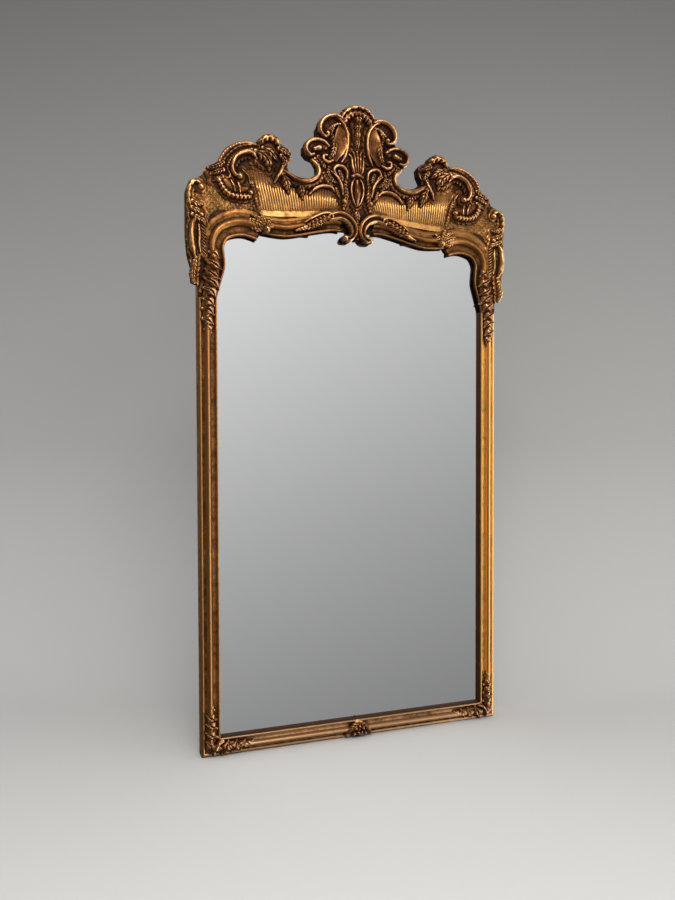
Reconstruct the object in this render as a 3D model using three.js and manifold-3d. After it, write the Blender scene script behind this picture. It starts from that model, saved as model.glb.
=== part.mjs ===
// Overmantel mirror: a mitred, gilded moulding frame under a carved rococo crest.
// Millimetres. X runs right, Y runs back to the wall, Z runs up. The origin is the centre of the
// bottom rail's underside, where the frame stands on the mantelshelf.
import * as THREE from 'three';
import { mergeVertices } from 'three/addons/utils/BufferGeometryUtils.js';
import Module from 'manifold-3d';

const wasm = await Module();
wasm.setup();

// ---------------------------------------------------------------- driving dimensions
const HEIGHT = 1500; // shelf to the top of the hood
const HALF_WIDTH = 375; // centre line to the outer face of a stile
const STILE_LENGTH = 1035; // shelf to the top of the straight moulding
const FRAME_WIDTH = 42; // face width of stiles and bottom rail
const ARCH_WIDTH = 62; // face width of the arch moulding where it meets the notch
const JOIN = 0.3; // clearance between pieces that touch

// Depths are measured forward from the wall face of the frame.
const SIDE_DEPTH = 30; // outer side of the frame
const LEDGE_DEPTH = 27; // ledge that the glass bears on
const LIP_DEPTH = 41; // sight-edge lip
const COVE_DEPTH = 34; // bottom of the cove beside the lip
const TORUS_DEPTH = 45; // top of the large round
const GROOVE_DEPTH = 31.5; // bottom of the outer groove
const BEAD_DEPTH = 35; // top of the outer bead
const CREST_BACK = 12; // back of the crest boards
const CREST_FACE = 33; // front of the crest boards
const CARVING_PROUD = 30; // how far the boldest carving stands off the boards
const EAR_DROP = 28; // stile top to the bottom of an ear

const REBATE = 8; // width of the rebate behind the sight edge
const GLASS_THICK = 4;
const GLASS_PLAY = 1.2; // gap round the glass and the backboards
const STRIP_WIDTH = 12; // glazing strip
const STRIP_DEPTH = 6; // between the glass and the backboards
const BOARD_THICK = 7; // backboard
const SCREW_INSET = 60; // end of a backboard to its screw
const TOP_RAIL_TALL = 42;
const BATTEN_WIDTH = 46;
const SCREW_HEAD = 4; // radius
const SCREW_SHANK = 1.6; // radius
const SCREW_DOME = 1.8; // height of a screw head
const HANGER_FALL = 60; // stile top down to a hanger's eye
const STRAP_WIDTH = 14;
const STRAP_THICK = 1.6;
const STRAP_LENGTH = 46;
const EYE_BORE = 2; // radius of the rolled eye
const EYE_WALL = 1.5;
const RING_WIRE = 1.5; // radius
const RING_WIDTH = 24;
const RING_DROP = 20;

const FLUTE_PITCH = 14;
const FLUTE_RISE = 2;
const LATTICE_PITCH = 30;
const LATTICE_RISE = 3;
const FIELD_THICK = 1.6; // gilded sheet that the flutes and the lattice are cut in
const FILLET_RISE = 14; // outer edge of the apron moulding up to the fillet at the foot of the flutes
const WRAP_DROP = 78; // stile top down to the tail of a stile wrap
const LEAF_RUN = 126; // corner leaf along the rail
const LEAF_CLIMB = 118; // corner leaf up the stile
const SHELL_HALF = 30; // half length of the bottom shell

// ---------------------------------------------------------------- derived places
const BACK_Y = SIDE_DEPTH / 2;
const SIGHT_HALF = HALF_WIDTH - FRAME_WIDTH;
const RISE = HEIGHT - STILE_LENGTH;
const SEAT = CREST_FACE + JOIN; // where applied carving starts
const HEAD_FLOOR = SEAT + 0.8; // thinnest part of a head moulding
const GLASS_HALF = SIGHT_HALF + REBATE - GLASS_PLAY;
const GLASS_FOOT = FRAME_WIDTH - REBATE + GLASS_PLAY;
const GLASS_BACK = LEDGE_DEPTH - JOIN - GLASS_THICK;
const BOARD_FRONT = GLASS_BACK - STRIP_DEPTH;

// The crest is drawn 375 across its half, 465 up from the stile tops and 30 proud; the factors below
// carry the drawing to the sizes above.
const ACROSS = HALF_WIDTH / 375;
const SIGHT_ACROSS = SIGHT_HALF / 333;
const UP = RISE / 465;
const BROAD = Math.sqrt(ACROSS * UP);
const PROUD = CARVING_PROUD / 30;
const TOP_RAIL_Z = STILE_LENGTH + 188 * UP;
const BATTEN_TOP = STILE_LENGTH + 280 * UP;

const crest = ([x, z]) => [x * ACROSS, STILE_LENGTH + z * UP];
const sight = ([x, z]) => [x * SIGHT_ACROSS, STILE_LENGTH + z * UP];

// ---------------------------------------------------------------- finishes
const finish = (color, roughness, metalness) => new THREE.MeshStandardMaterial({ color, roughness, metalness });
const GILT = finish(0xb07d3c, 0.42, 0.85);
const DARK_GILT = finish(0x7d5526, 0.5, 0.8);
const BARE_WOOD = finish(0x7a5a3a, 0.8, 0);
const MIRROR = finish(0xd8dcdf, 0.04, 1);
const STEEL = finish(0x8c8a84, 0.4, 1);

// ---------------------------------------------------------------- solids
const group = new THREE.Group();

function toSolid(geometry) {
  geometry.deleteAttribute('normal');
  geometry.deleteAttribute('uv');
  const merged = mergeVertices(geometry, 1e-4);
  const vertProperties = new Float32Array(merged.attributes.position.array);
  const triVerts = new Uint32Array(merged.index.array);
  return new wasm.Manifold(new wasm.Mesh({ numProp: 3, vertProperties, triVerts }));
}

function toGeometry(solid) {
  const mesh = solid.getMesh();
  const geometry = new THREE.BufferGeometry();
  geometry.setAttribute('position', new THREE.BufferAttribute(new Float32Array(mesh.vertProperties), 3));
  geometry.setIndex(Array.from(mesh.triVerts));
  return geometry;
}

// Signed volume of an indexed mesh, or of some of its triangles.
function volumeOf(geometry, triangles) {
  const p = geometry.attributes.position;
  const index = geometry.index.array;
  const [a, b, c] = [new THREE.Vector3(), new THREE.Vector3(), new THREE.Vector3()];
  return triangles.reduce((sum, t) => {
    a.fromBufferAttribute(p, index[3 * t]);
    b.fromBufferAttribute(p, index[3 * t + 1]);
    c.fromBufferAttribute(p, index[3 * t + 2]);
    return sum + a.dot(b.cross(c)) / 6;
  }, 0);
}

function flipFaces(geometry) {
  const index = geometry.index.array;
  for (let t = 0; t < index.length; t += 3) [index[t + 1], index[t + 2]] = [index[t + 2], index[t + 1]];
  return geometry;
}

function mirrored(geometry) {
  const copy = geometry.clone();
  copy.scale(-1, 1, 1);
  return flipFaces(copy);
}

// A cut can leave loose chips; a piece is its largest body.
function withoutChips(geometry) {
  const index = geometry.index.array;
  const parent = Array.from({ length: geometry.attributes.position.count }, (_, i) => i);
  const root = (i) => {
    while (parent[i] !== i) i = parent[i] = parent[parent[i]];
    return i;
  };
  for (let t = 0; t < index.length; t += 3) {
    parent[root(index[t])] = root(index[t + 1]);
    parent[root(index[t + 1])] = root(index[t + 2]);
  }
  const bodies = new Map();
  for (let t = 0; t < index.length / 3; t++) {
    const key = root(index[3 * t]);
    if (!bodies.has(key)) bodies.set(key, []);
    bodies.get(key).push(t);
  }
  const sized = [...bodies.values()].sort((a, b) => volumeOf(geometry, b) - volumeOf(geometry, a));
  const kept = geometry.clone();
  kept.setIndex(sized[0].flatMap((t) => [index[3 * t], index[3 * t + 1], index[3 * t + 2]]));
  return kept;
}

const fuse = (solids) => solids.reduce((a, b) => a.add(b));
const cut = (solid, cutters) => cutters.reduce((a, b) => a.subtract(b), solid);

function add(name, geometry, material) {
  const mesh = new THREE.Mesh(withoutChips(geometry), material);
  mesh.name = name;
  group.add(mesh);
}

function addPair(name, geometry, material) {
  add(`right_${name}`, geometry, material);
  add(`left_${name}`, mirrored(geometry), material);
}

// ---------------------------------------------------------------- form tools
// A flat plate between two depths, from an outline of [x, z] corners.
function plate(outline, back, front) {
  const shape = new THREE.Shape(outline.map((p) => new THREE.Vector2(...p)));
  const geometry = new THREE.ExtrudeGeometry(shape, { depth: front - back, bevelEnabled: false });
  geometry.rotateX(Math.PI / 2);
  geometry.translate(0, BACK_Y - back, 0);
  return toSolid(geometry);
}

// A block between two X, two depths and two Z.
function box([x0, x1], [back, front], [z0, z1]) {
  const geometry = new THREE.BoxGeometry(x1 - x0, front - back, z1 - z0);
  geometry.translate((x0 + x1) / 2, BACK_Y - (front + back) / 2, (z0 + z1) / 2);
  return toSolid(geometry);
}

// Points and normals along a smooth path of [x, z] points.
function stationsAlong(points, steps, reach = 0) {
  const curve = new THREE.CatmullRomCurve3(points.map(([x, z]) => new THREE.Vector3(x, 0, z)), false, 'centripetal');
  return Array.from({ length: steps + 1 }, (_, i) => {
    const t = i / steps;
    const p = curve.getPointAt(t);
    const d = curve.getTangentAt(t);
    const push = i === 0 ? -reach : i === steps ? reach : 0;
    return { t, x: p.x + d.x * push, z: p.z + d.z * push, nx: -d.z, nz: d.x };
  });
}

// A solid from corners and triangles, with its faces turned outward.
function closed(positions, index) {
  const geometry = new THREE.BufferGeometry();
  geometry.setAttribute('position', new THREE.Float32BufferAttribute(positions, 3));
  geometry.setIndex(index);
  const every = Array.from({ length: index.length / 3 }, (_, t) => t);
  return toSolid(volumeOf(geometry, every) < 0 ? flipFaces(geometry) : geometry);
}

const triangles = (outline) => THREE.ShapeUtils.triangulateShape(outline.map((p) => new THREE.Vector2(...p)), []);

// A straight bar: `near` and `far` place the corners of its section at the two ends.
function bar(section, near, far) {
  const n = section.length;
  const index = [];
  for (let k = 0; k < n; k++) {
    const next = (k + 1) % n;
    index.push(k, next, n + next, k, n + next, n + k);
  }
  triangles(section).forEach(([a, b, c]) => index.push(a, b, c, n + a, n + c, n + b));
  return closed([...section.flatMap(near), ...section.flatMap(far)], index);
}

// A closed body whose sections are outlines of [across, depth] pairs set along the stations.
function sweep(stations, outlineAt, ring = false) {
  const outlines = stations.map((s) => outlineAt(s.t));
  const n = outlines[0].length;
  const rows = ring ? stations.length : stations.length - 1;
  const positions = stations.flatMap((s, i) =>
    outlines[i].flatMap(([across, depth]) => [s.x + s.nx * across, BACK_Y - depth, s.z + s.nz * across]));
  const index = [];
  for (let i = 0; i < rows; i++) {
    for (let k = 0; k < n; k++) {
      const [a, b] = [i * n + k, i * n + ((k + 1) % n)];
      const [c, d] = [a + n, b + n].map((v) => v % (stations.length * n));
      index.push(a, b, d, a, d, c);
    }
  }
  if (!ring) {
    const end = (stations.length - 1) * n;
    const clockwise = THREE.ShapeUtils.isClockWise(outlines[0].map((p) => new THREE.Vector2(...p)));
    const facing = ([a, b, c], forward) => (forward ? [a, b, c] : [a, c, b]);
    triangles(outlines[0]).forEach((tri) => index.push(...facing(tri, clockwise)));
    triangles(outlines.at(-1)).forEach((tri) => index.push(...facing(tri.map((v) => v + end), !clockwise)));
  }
  return closed(positions, index);
}

// A value that runs smoothly through an evenly spaced list.
function along(values, t) {
  const at = t * (values.length - 1);
  const i = Math.min(Math.floor(at), values.length - 2);
  const f = at - i;
  return values[i] + (values[i + 1] - values[i]) * f * f * (3 - 2 * f);
}

// A carved stroke: a round-topped band with a flat seat, drawn with a few widths and heights. Grown to
// clear a neighbour it also stands taller, so that nothing bridges over it.
function stroke(points, widths, heights, { steps = 10, sides = 5, seat = SEAT, grow = 0, lobes = 0 } = {}) {
  return sweep(stationsAlong(points, steps, grow), (t) => {
    const ruffle = 1 + 0.16 * Math.cos(2 * Math.PI * lobes * t) * (lobes ? 1 : 0);
    const half = (along(widths, t) * ruffle) / 2 + grow;
    const rise = along(heights, t) + (grow ? CARVING_PROUD : 0);
    return Array.from({ length: sides + 1 }, (_, k) => {
      const a = (Math.PI * k) / sides;
      return [Math.cos(a) * half, seat - grow + Math.sin(a) ** 0.8 * rise];
    });
  });
}

// A carved boss, round or oval, with a flat seat.
function boss([x, z], radius, rise, { seat = SEAT, grow = 0, sides = 6 } = {}) {
  const rings = 2;
  const profile = Array.from({ length: rings + 1 }, (_, k) => {
    const a = (Math.PI / 2) * (k / rings);
    return new THREE.Vector2(Math.cos(a) * (radius + grow), seat - grow + Math.sin(a) * (rise + (grow ? CARVING_PROUD : 0)));
  });
  profile[rings].x = 0;
  const lathe = new THREE.LatheGeometry([new THREE.Vector2(0, seat - grow), ...profile], sides);
  lathe.scale(1, -1, 1);
  lathe.translate(x, BACK_Y, z);
  return toSolid(flipFaces(lathe));
}

// ---------------------------------------------------------------- moulding section
const arc = (from, to, base, top, count) =>
  Array.from({ length: count + 1 }, (_, k) => {
    const a = Math.PI * (1 - k / count);
    return [from + ((to - from) * (1 + Math.cos(a))) / 2, base + (top - base) * Math.sin(a)];
  });

// Front of the moulding from the sight edge outward: lip, cove, torus, groove and outer bead.
function mouldingFront(width, floor, grow) {
  const line = [
    ...arc(0, 0.11 * width, LIP_DEPTH - 2.5, LIP_DEPTH, 2),
    ...arc(0.13 * width, 0.36 * width, LIP_DEPTH - 4.5, COVE_DEPTH, 2),
    ...arc(0.37 * width, 0.68 * width, COVE_DEPTH + 2, TORUS_DEPTH, 4),
    [0.7 * width, GROOVE_DEPTH],
    ...arc(0.79 * width, width, SIDE_DEPTH + 1, BEAD_DEPTH, 2),
  ];
  return line.map(([across, depth], k) => {
    const side = k === 0 ? -grow : k === line.length - 1 ? grow : 0;
    return [across + side, Math.max(depth, floor) + grow];
  });
}

// Whole section of a stile or rail, with its rebate.
function frameSection(grow = 0) {
  return [
    ...mouldingFront(FRAME_WIDTH, SIDE_DEPTH, grow),
    [FRAME_WIDTH + grow, -grow],
    [REBATE - grow, -grow],
    [REBATE - grow, LEDGE_DEPTH - grow],
    [-grow, LEDGE_DEPTH - grow],
  ];
}

function headSection(width, grow = 0) {
  return [...mouldingFront(width, HEAD_FLOOR, grow), [width + grow, SEAT - grow], [-grow, SEAT - grow]];
}

// ---------------------------------------------------------------- frame
// A stile: mitred at the foot, square at the top.
function stileSolid(grow = 0) {
  const x = (across) => SIGHT_HALF + across;
  return bar(frameSection(grow), ([across, depth]) => [x(across), BACK_Y - depth, FRAME_WIDTH - across + JOIN - grow],
    ([across, depth]) => [x(across), BACK_Y - depth, STILE_LENGTH - JOIN + grow]);
}

// The bottom rail, mitred at both ends.
function bottomRailSolid(grow = 0) {
  const end = (side) => ([across, depth]) =>
    [side * (SIGHT_HALF + across - JOIN + grow), BACK_Y - depth, FRAME_WIDTH - across];
  return bar(frameSection(grow), end(-1), end(1));
}

const stileLath = box([SIGHT_HALF + REBATE, HALF_WIDTH], [0, LEDGE_DEPTH],
  [STILE_LENGTH - 2 * JOIN, TOP_RAIL_Z + TOP_RAIL_TALL]);
addPair('stile', toGeometry(stileSolid().add(stileLath)), GILT);
add('bottom_rail', toGeometry(bottomRailSolid()), GILT);

const railHalf = SIGHT_HALF + REBATE - JOIN;
add('top_rail', toGeometry(box([-railHalf, railHalf], [CREST_BACK + JOIN, LEDGE_DEPTH],
  [TOP_RAIL_Z, TOP_RAIL_Z + TOP_RAIL_TALL])), BARE_WOOD);

// ---------------------------------------------------------------- sight edge of the head
const ARCH = [
  [333, 0], [323, 36], [314, 70], [315, 95], [316, 114], [307, 131], [290, 138], [272, 140], [256, 137], [243, 133],
];
const APRON = [[229, 149.5], [200, 146.5], [175, 146], [145, 151], [100, 162], [60, 169.5], [42, 169]];
const archPath = ARCH.map(sight);
const apronPath = APRON.map(sight);
const outwardOf = (section) => section.map(([across, depth]) => [-across, depth]);

function archMoulding(grow = 0) {
  const width = (t) => FRAME_WIDTH + (ARCH_WIDTH - FRAME_WIDTH) * Math.min(1, Math.max(0, (t - 0.4) / 0.4));
  return sweep(stationsAlong(archPath, 11, grow), (t) => outwardOf(headSection(width(t), grow)));
}

function apronMoulding(grow = 0) {
  return sweep(stationsAlong(apronPath, 7, grow), () => outwardOf(headSection(FRAME_WIDTH, grow)));
}

// ---------------------------------------------------------------- crest boards
const BOARD_JOINT = 118; // where a shoulder board meets the centre board
const SHOULDER_TOP = [
  [389, 33], [389, 65], [397, 95], [400, 135], [400, 232], [393, 252], [378, 259], [364, 269], [356, 284],
  [336, 296], [322, 304], [310, 321], [290, 339], [266, 348], [244, 352], [233, 360], [226, 371], [209, 377],
  [193, 370], [183, 354], [167, 348], [160, 338], [162, 322], [170, 306], [166, 299], [150, 290], [132, 285],
  [118, 285],
];
const CENTRE_TOP = [
  [118, 285], [105, 291], [97, 303], [98, 317], [106, 330], [121, 335], [130, 345], [130, 360], [118, 374],
  [101, 378], [98, 388], [98, 405], [89, 422], [74, 434], [56, 438], [46, 441], [36, 452], [20, 461], [0, 465],
];

function insetSight(inset, from, to) {
  return [...stationsAlong(archPath, 10), ...stationsAlong(apronPath, 5)]
    .map((s) => [s.x + s.nx * -inset, s.z + s.nz * -inset])
    .filter(([x]) => x >= from && x <= to);
}

function shoulderBoard() {
  const [jointX] = crest([BOARD_JOINT, 0]);
  const lower = insetSight(3, jointX + 4, SIGHT_HALF + 3);
  const rim = SHOULDER_TOP.map(crest).filter(([x]) => x > jointX + 1);
  const foot = STILE_LENGTH + JOIN;
  const jointTop = [jointX + JOIN, rim.at(-1)[1]];
  const face = [[HALF_WIDTH, foot], [HALF_WIDTH, STILE_LENGTH + EAR_DROP], ...rim, jointTop,
    [jointX + JOIN, lower.at(-1)[1]], ...lower.reverse(), [SIGHT_HALF + 3, foot]];
  const front = plate(face, LEDGE_DEPTH + JOIN, CREST_FACE);
  const lap = TOP_RAIL_Z + TOP_RAIL_TALL + JOIN;
  const ear = HALF_WIDTH + JOIN;
  const behind = [[ear, STILE_LENGTH + EAR_DROP], ...rim, jointTop, [jointX + JOIN, lap], [ear, lap]];
  return front.add(plate(behind, CREST_BACK, LEDGE_DEPTH + 2 * JOIN));
}

function centreBoard() {
  const [jointX] = crest([BOARD_JOINT, 0]);
  const half = [[jointX - JOIN, crest([0, 285])[1]], ...CENTRE_TOP.map(crest).slice(1)];
  const rim = [...half, ...half.slice(0, -1).reverse().map(([x, z]) => [-x, z])];
  const lower = insetSight(3, 0, jointX - JOIN);
  const under = [[jointX - JOIN, lower[0][1]], ...lower];
  const face = [...rim, ...under.map(([x, z]) => [-x, z]), ...under.slice().reverse()];
  const lap = TOP_RAIL_Z + TOP_RAIL_TALL + JOIN;
  const behind = [...rim, [-(jointX - JOIN), lap], [jointX - JOIN, lap]];
  return plate(face, LEDGE_DEPTH + JOIN, CREST_FACE).add(plate(behind, CREST_BACK, LEDGE_DEPTH + 2 * JOIN));
}

addPair('shoulder_board', toGeometry(shoulderBoard()), DARK_GILT);
add('crest_center_board', toGeometry(centreBoard()), DARK_GILT);

// ---------------------------------------------------------------- applied carving
// Each carving is cut clear of those placed before it, so that neighbours meet without a clash.
const placed = [];
const overlaps = (a, b) => [0, 1, 2].every((k) => a.min[k] < b.max[k] && b.min[k] < a.max[k]);

function reserve(grown) {
  placed.push({ bounds: grown.boundingBox(), solid: grown });
}

function carve(name, build, material, paired = true) {
  const whole = fuse(build(0));
  const grown = fuse(build(JOIN));
  const near = placed.filter((other) => overlaps(whole.boundingBox(), other.bounds)).map((other) => other.solid);
  const geometry = toGeometry(cut(whole, near));
  if (paired) addPair(name, geometry, material);
  else add(name, geometry, material);
  reserve(grown);
  if (paired) reserve(toSolid(mirrored(toGeometry(grown))));
}

reserve(stileSolid(JOIN));
reserve(bottomRailSolid(JOIN));
carve('arch_moulding', (grow) => [archMoulding(grow)], GILT);
carve('apron_moulding', (grow) => [apronMoulding(grow)], GILT);

// A stroke or a boss on the crest's drawing, and a piece made of several.
const onCrest = (points, widths, heights, options) => (grow) =>
  stroke(points.map(crest), widths.map((w) => w * BROAD), heights.map((h) => h * PROUD), { ...options, grow });
const bossOnCrest = (centre, radius, rise, options) => (grow) =>
  boss(crest(centre), radius * BROAD, rise * PROUD, { ...options, grow });
const pieceOf = (...builders) => (grow) => builders.map((build) => build(grow));

// Shoulder: a thin C-scroll with its eye, the acanthus over it with the rolled top, and the ruffle below.
carve('shoulder_scroll', pieceOf(
  onCrest([[281, 272], [291, 274], [298, 286], [296, 301], [289, 314], [277, 323], [262, 328], [249, 324],
    [242, 315]], [8, 8, 8, 9, 9, 9, 9, 9, 5], [17, 19, 20, 21, 21, 21, 20, 18, 12], { steps: 12, sides: 3 }),
  bossOnCrest([281, 273], 7, 20),
), GILT);
carve('shoulder_leaf', pieceOf(
  onCrest([[308, 274], [317, 290], [308, 313], [288, 331], [262, 340], [240, 342]], [18, 30, 31, 28, 25, 16],
    [9, 14, 16, 16, 15, 12], { steps: 6, sides: 3 }),
  onCrest([[240, 342], [229, 357], [211, 364], [196, 358], [187, 346]], [16, 20, 22, 20, 14], [14, 20, 23, 20, 14],
    { steps: 6, sides: 3 }),
  onCrest([[234, 343], [212, 345], [188, 339]], [34, 31, 22], [9, 10, 9], { steps: 2, sides: 3 }),
  onCrest([[240, 331], [229, 325], [219, 316], [214, 301]], [16, 20, 19, 8], [16, 20, 20, 13], { steps: 4, sides: 3 }),
  onCrest([[190, 345], [179, 338], [167, 334]], [16, 18, 8], [14, 17, 13], { steps: 3, sides: 3 }),
  onCrest([[184, 337], [176, 318], [182, 303], [188, 288], [195, 277], [200, 268]], [24, 16, 11, 8, 7, 4],
    [15, 17, 15, 17, 15, 9], { steps: 5, sides: 3 }),
  onCrest([[318, 299], [331, 291], [344, 286], [352, 284]], [17, 19, 16, 6], [14, 15, 13, 8], { steps: 3, sides: 3 }),
), GILT);
carve('shoulder_ruffle', pieceOf(
  onCrest([[329, 264], [322, 249], [312, 235], [297, 228], [278, 227], [256, 231]], [10, 13, 14, 14, 14, 12],
    [13, 16, 17, 17, 17, 15], { steps: 10, lobes: 5, sides: 3 }),
  onCrest([[316, 256], [300, 243], [280, 238], [262, 240]], [27, 31, 30, 18], [8, 9, 9, 8], { steps: 3, sides: 3 }),
  bossOnCrest([257, 238], 7, 20),
), GILT);

// Ear: a corner volute, a leaf cluster, a long scroll and its hanging terminal.
carve('ear_scroll', pieceOf(
  onCrest([[368, 242], [372, 250], [383, 251], [391, 242], [394, 226], [393, 206], [386, 190]],
    [8, 8, 9, 9, 9, 9, 8], [13, 14, 15, 15, 15, 14, 11], { steps: 8, sides: 3 }),
  bossOnCrest([367, 241], 6, 16),
  onCrest([[386, 208], [374, 196], [368, 182], [362, 168], [357, 156]], [16, 27, 28, 19, 6], [12, 15, 15, 13, 8],
    { steps: 6, sides: 3 }),
  onCrest([[376, 174], [386, 160], [389, 138], [388, 112], [382, 88], [384, 64], [387, 46], [384, 31]],
    [10, 11, 14, 13, 8, 15, 16, 8], [12, 18, 20, 18, 11, 15, 15, 9], { steps: 11, sides: 3 }),
), GILT);

// Cartouche: hood over its stem, two scrolls, side volutes with hollow fields, palmette and oval boss.
const HOOD = [[-43, 429], [-33, 445], [-18, 456], [0, 460], [18, 456], [33, 445], [43, 429]];
const UNDER_HOOD = [[-36, 420], [-28, 435], [-15, 445], [0, 448], [15, 445], [28, 435], [36, 420]];
carve('hood', pieceOf(
  onCrest(HOOD, [7, 8, 9, 9, 9, 8, 7], [22, 28, 31, 32, 31, 28, 22], { steps: 10, sides: 4 }),
  onCrest(UNDER_HOOD, [18, 22, 24, 25, 24, 22, 18], [16, 20, 22, 22, 22, 20, 16], { steps: 8, sides: 3 }),
  onCrest([[0, 442], [0, 424], [0, 406], [0, 388], [0, 364]], [28, 25, 20, 16, 7], [24, 22, 20, 18, 12],
    { steps: 8, sides: 3, lobes: 4 }),
), GILT, false);
carve('cartouche_scroll', pieceOf(
  onCrest([[41, 423], [59, 421], [76, 411], [84, 398], [84, 386]], [22, 32, 34, 30, 20], [18, 20, 19, 17, 15],
    { steps: 6, sides: 3 }),
  onCrest([[40, 429], [55, 434], [72, 430], [86, 420], [94, 405], [92, 390], [81, 383], [72, 388]],
    [7, 9, 9, 9, 9, 9, 9, 7], [22, 25, 26, 26, 26, 25, 23, 18], { steps: 9, sides: 3 }),
  bossOnCrest([75, 391], 6.5, 22),
  bossOnCrest([81, 401], 12, 14),
  onCrest([[56, 430], [43, 424], [31, 410], [25, 390], [25, 369], [30, 347], [39, 330]], [7, 7, 6, 6, 6, 6, 5],
    [20, 20, 18, 17, 16, 15, 11], { steps: 7, sides: 3 }),
), GILT);
carve('side_volute', pieceOf(
  onCrest([[72, 363], [85, 371], [101, 373], [116, 369], [126, 358], [126, 346], [117, 338], [108, 341]],
    [8, 9, 9, 9, 9, 9, 8, 7], [17, 21, 23, 23, 23, 22, 20, 16], { steps: 9, sides: 3 }),
  onCrest([[66, 359], [81, 361], [96, 361], [111, 355], [116, 340]], [18, 22, 28, 28, 22], [13, 14, 15, 15, 13],
    { steps: 5, sides: 3 }),
  bossOnCrest([101, 354], 6.5, 22),
  bossOnCrest([112, 353], 15, 12),
  onCrest([[38, 412], [38, 392], [44, 370], [51, 349], [55, 333]], [14, 20, 24, 23, 10], [9, 8, 8, 8, 9],
    { steps: 5, sides: 3 }),
  onCrest([[62, 384], [60, 366], [67, 350], [74, 332]], [14, 24, 28, 16], [14, 15, 15, 12], { steps: 4, sides: 3 }),
  onCrest([[90, 358], [92, 338], [86, 318]], [22, 27, 12], [12, 14, 11], { steps: 3, sides: 3 }),
), GILT);
const BLADES = [[0, 1], [8, 0.96], [16, 0.84]]; // reach to the side and share of the full length
carve('palmette', pieceOf(
  ...BLADES.flatMap(([reach, length]) => (reach ? [-1, 1] : [1]).map((side) =>
    onCrest([[0.45, -2], [0.8, 28 * length], [1.2, 60 * length]].map(([out, up]) => [side * reach * out, 300 + up]),
      [6, 8, 5], [13, 18, 10], { steps: 3, sides: 3 }))),
  onCrest([[-13, 300], [0, 304], [13, 300]], [9, 11, 9], [14, 17, 14], { steps: 3, sides: 3 }),
  onCrest([[0, 299], [0, 264], [0, 230]], [16, 34, 8], [11, 12, 9], { steps: 5, sides: 3 }),
  onCrest([[0, 292], [0, 262], [0, 233]], [9, 19, 6], [14, 19, 12], { steps: 5, sides: 3 }),
), GILT, false);
carve('cartouche_leaf', pieceOf(
  onCrest([[26, 296], [28, 310], [39, 319], [52, 318], [60, 307]], [7, 8, 9, 9, 7], [13, 16, 17, 17, 14],
    { steps: 6, sides: 3 }),
  onCrest([[44, 317], [49, 296], [41, 272], [33, 244]], [28, 37, 28, 14], [9, 9, 9, 9], { steps: 4, sides: 3 }),
  onCrest([[64, 306], [50, 294], [40, 276], [36, 256]], [7, 9, 9, 6], [13, 15, 15, 12], { steps: 5, sides: 3 }),
  onCrest([[27, 292], [29, 276], [28, 258], [30, 240], [34, 224]], [8, 11, 13, 14, 7], [11, 13, 14, 15, 9],
    { steps: 6, sides: 3 }),
  onCrest([[72, 318], [73, 300], [63, 286], [50, 282]], [8, 11, 12, 8], [11, 14, 14, 10], { steps: 5, sides: 3 }),
), GILT);

// Rim of the gap beside the cartouche, its leafy border with two drops, and the thin curl over the flutes.
carve('gap_scroll', pieceOf(
  onCrest([[106, 330], [97, 319], [92, 306], [96, 291], [109, 280], [129, 275], [150, 278], [166, 286],
    [181, 297]], [7, 9, 10, 11, 12, 12, 12, 11, 8], [14, 17, 18, 18, 18, 18, 18, 16, 12], { steps: 9, sides: 3 }),
  onCrest([[85, 308], [88, 288], [105, 272], [129, 266], [154, 270], [173, 283]], [10, 14, 17, 17, 17, 12],
    [9, 11, 12, 12, 11, 9], { steps: 6, sides: 3 }),
  onCrest([[177, 286], [172, 270], [167, 252]], [13, 17, 5], [13, 15, 8], { steps: 3, sides: 3 }),
  onCrest([[137, 268], [136, 256], [133, 243]], [10, 13, 5], [12, 14, 7], { steps: 3, sides: 3 }),
  onCrest([[57, 261], [64, 270], [80, 272], [97, 268], [110, 258], [117, 250]], [5, 6, 7, 7, 5, 4],
    [9, 12, 13, 13, 12, 8], { steps: 5, sides: 3 }),
), GILT);

// Apron: leafy boss at each notch, gadrooned leaf and C-scroll beside the central drop.
carve('notch_rosette', pieceOf(
  onCrest([[266, 177], [252, 176], [238, 171], [222, 162]], [7, 19, 23, 18], [9, 14, 17, 17], { steps: 4, sides: 3 }),
  onCrest([[251, 189], [240, 183], [224, 166]], [8, 18, 15], [9, 15, 17], { steps: 3, sides: 3 }),
  onCrest([[203, 180], [210, 174], [219, 164]], [6, 14, 15], [9, 14, 17], { steps: 3, sides: 3 }),
  bossOnCrest([220, 159], 8.5, 25),
), GILT);
carve('apron_scroll', pieceOf(
  onCrest([[150, 163], [134, 169], [114, 179], [92, 190], [66, 200]], [6, 16, 25, 26, 19], [13, 19, 22, 22, 20],
    { steps: 9, sides: 3, lobes: 5 }),
  onCrest([[68, 199], [46, 204], [27, 198], [14, 182], [12, 165], [20, 153], [32, 153]],
    [19, 21, 21, 20, 17, 13, 10], [21, 22, 23, 23, 23, 22, 19], { steps: 11, sides: 4 }),
  bossOnCrest([31, 154], 7, 22),
), GILT);
carve('apron_drop', pieceOf(
  onCrest([[0, 226], [0, 212], [0, 198], [0, 180], [0, 164], [0, 150]], [6, 20, 16, 9, 9, 5], [8, 15, 16, 17, 15, 9],
    { steps: 8, sides: 3 }),
), GILT, false);

// Fields behind the carving: fine upright flutes inboard with a fillet at their foot, diamond lattice at
// the corner with the ogee end of that fillet.
const overApron = apronPath.map(([x, z]) => [x, z + FRAME_WIDTH + FILLET_RISE]);
const FLUTED = [...overApron, ...[[28, 262], [116, 268], [196, 284], [246, 290]].map(crest)];
const LATTICE = [
  [244, 212], [303, 200], [336, 195], [358, 160], [386, 200], [386, 222], [350, 250], [334, 262], [316, 236],
  [298, 224], [248, 226],
].map(crest);

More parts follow.
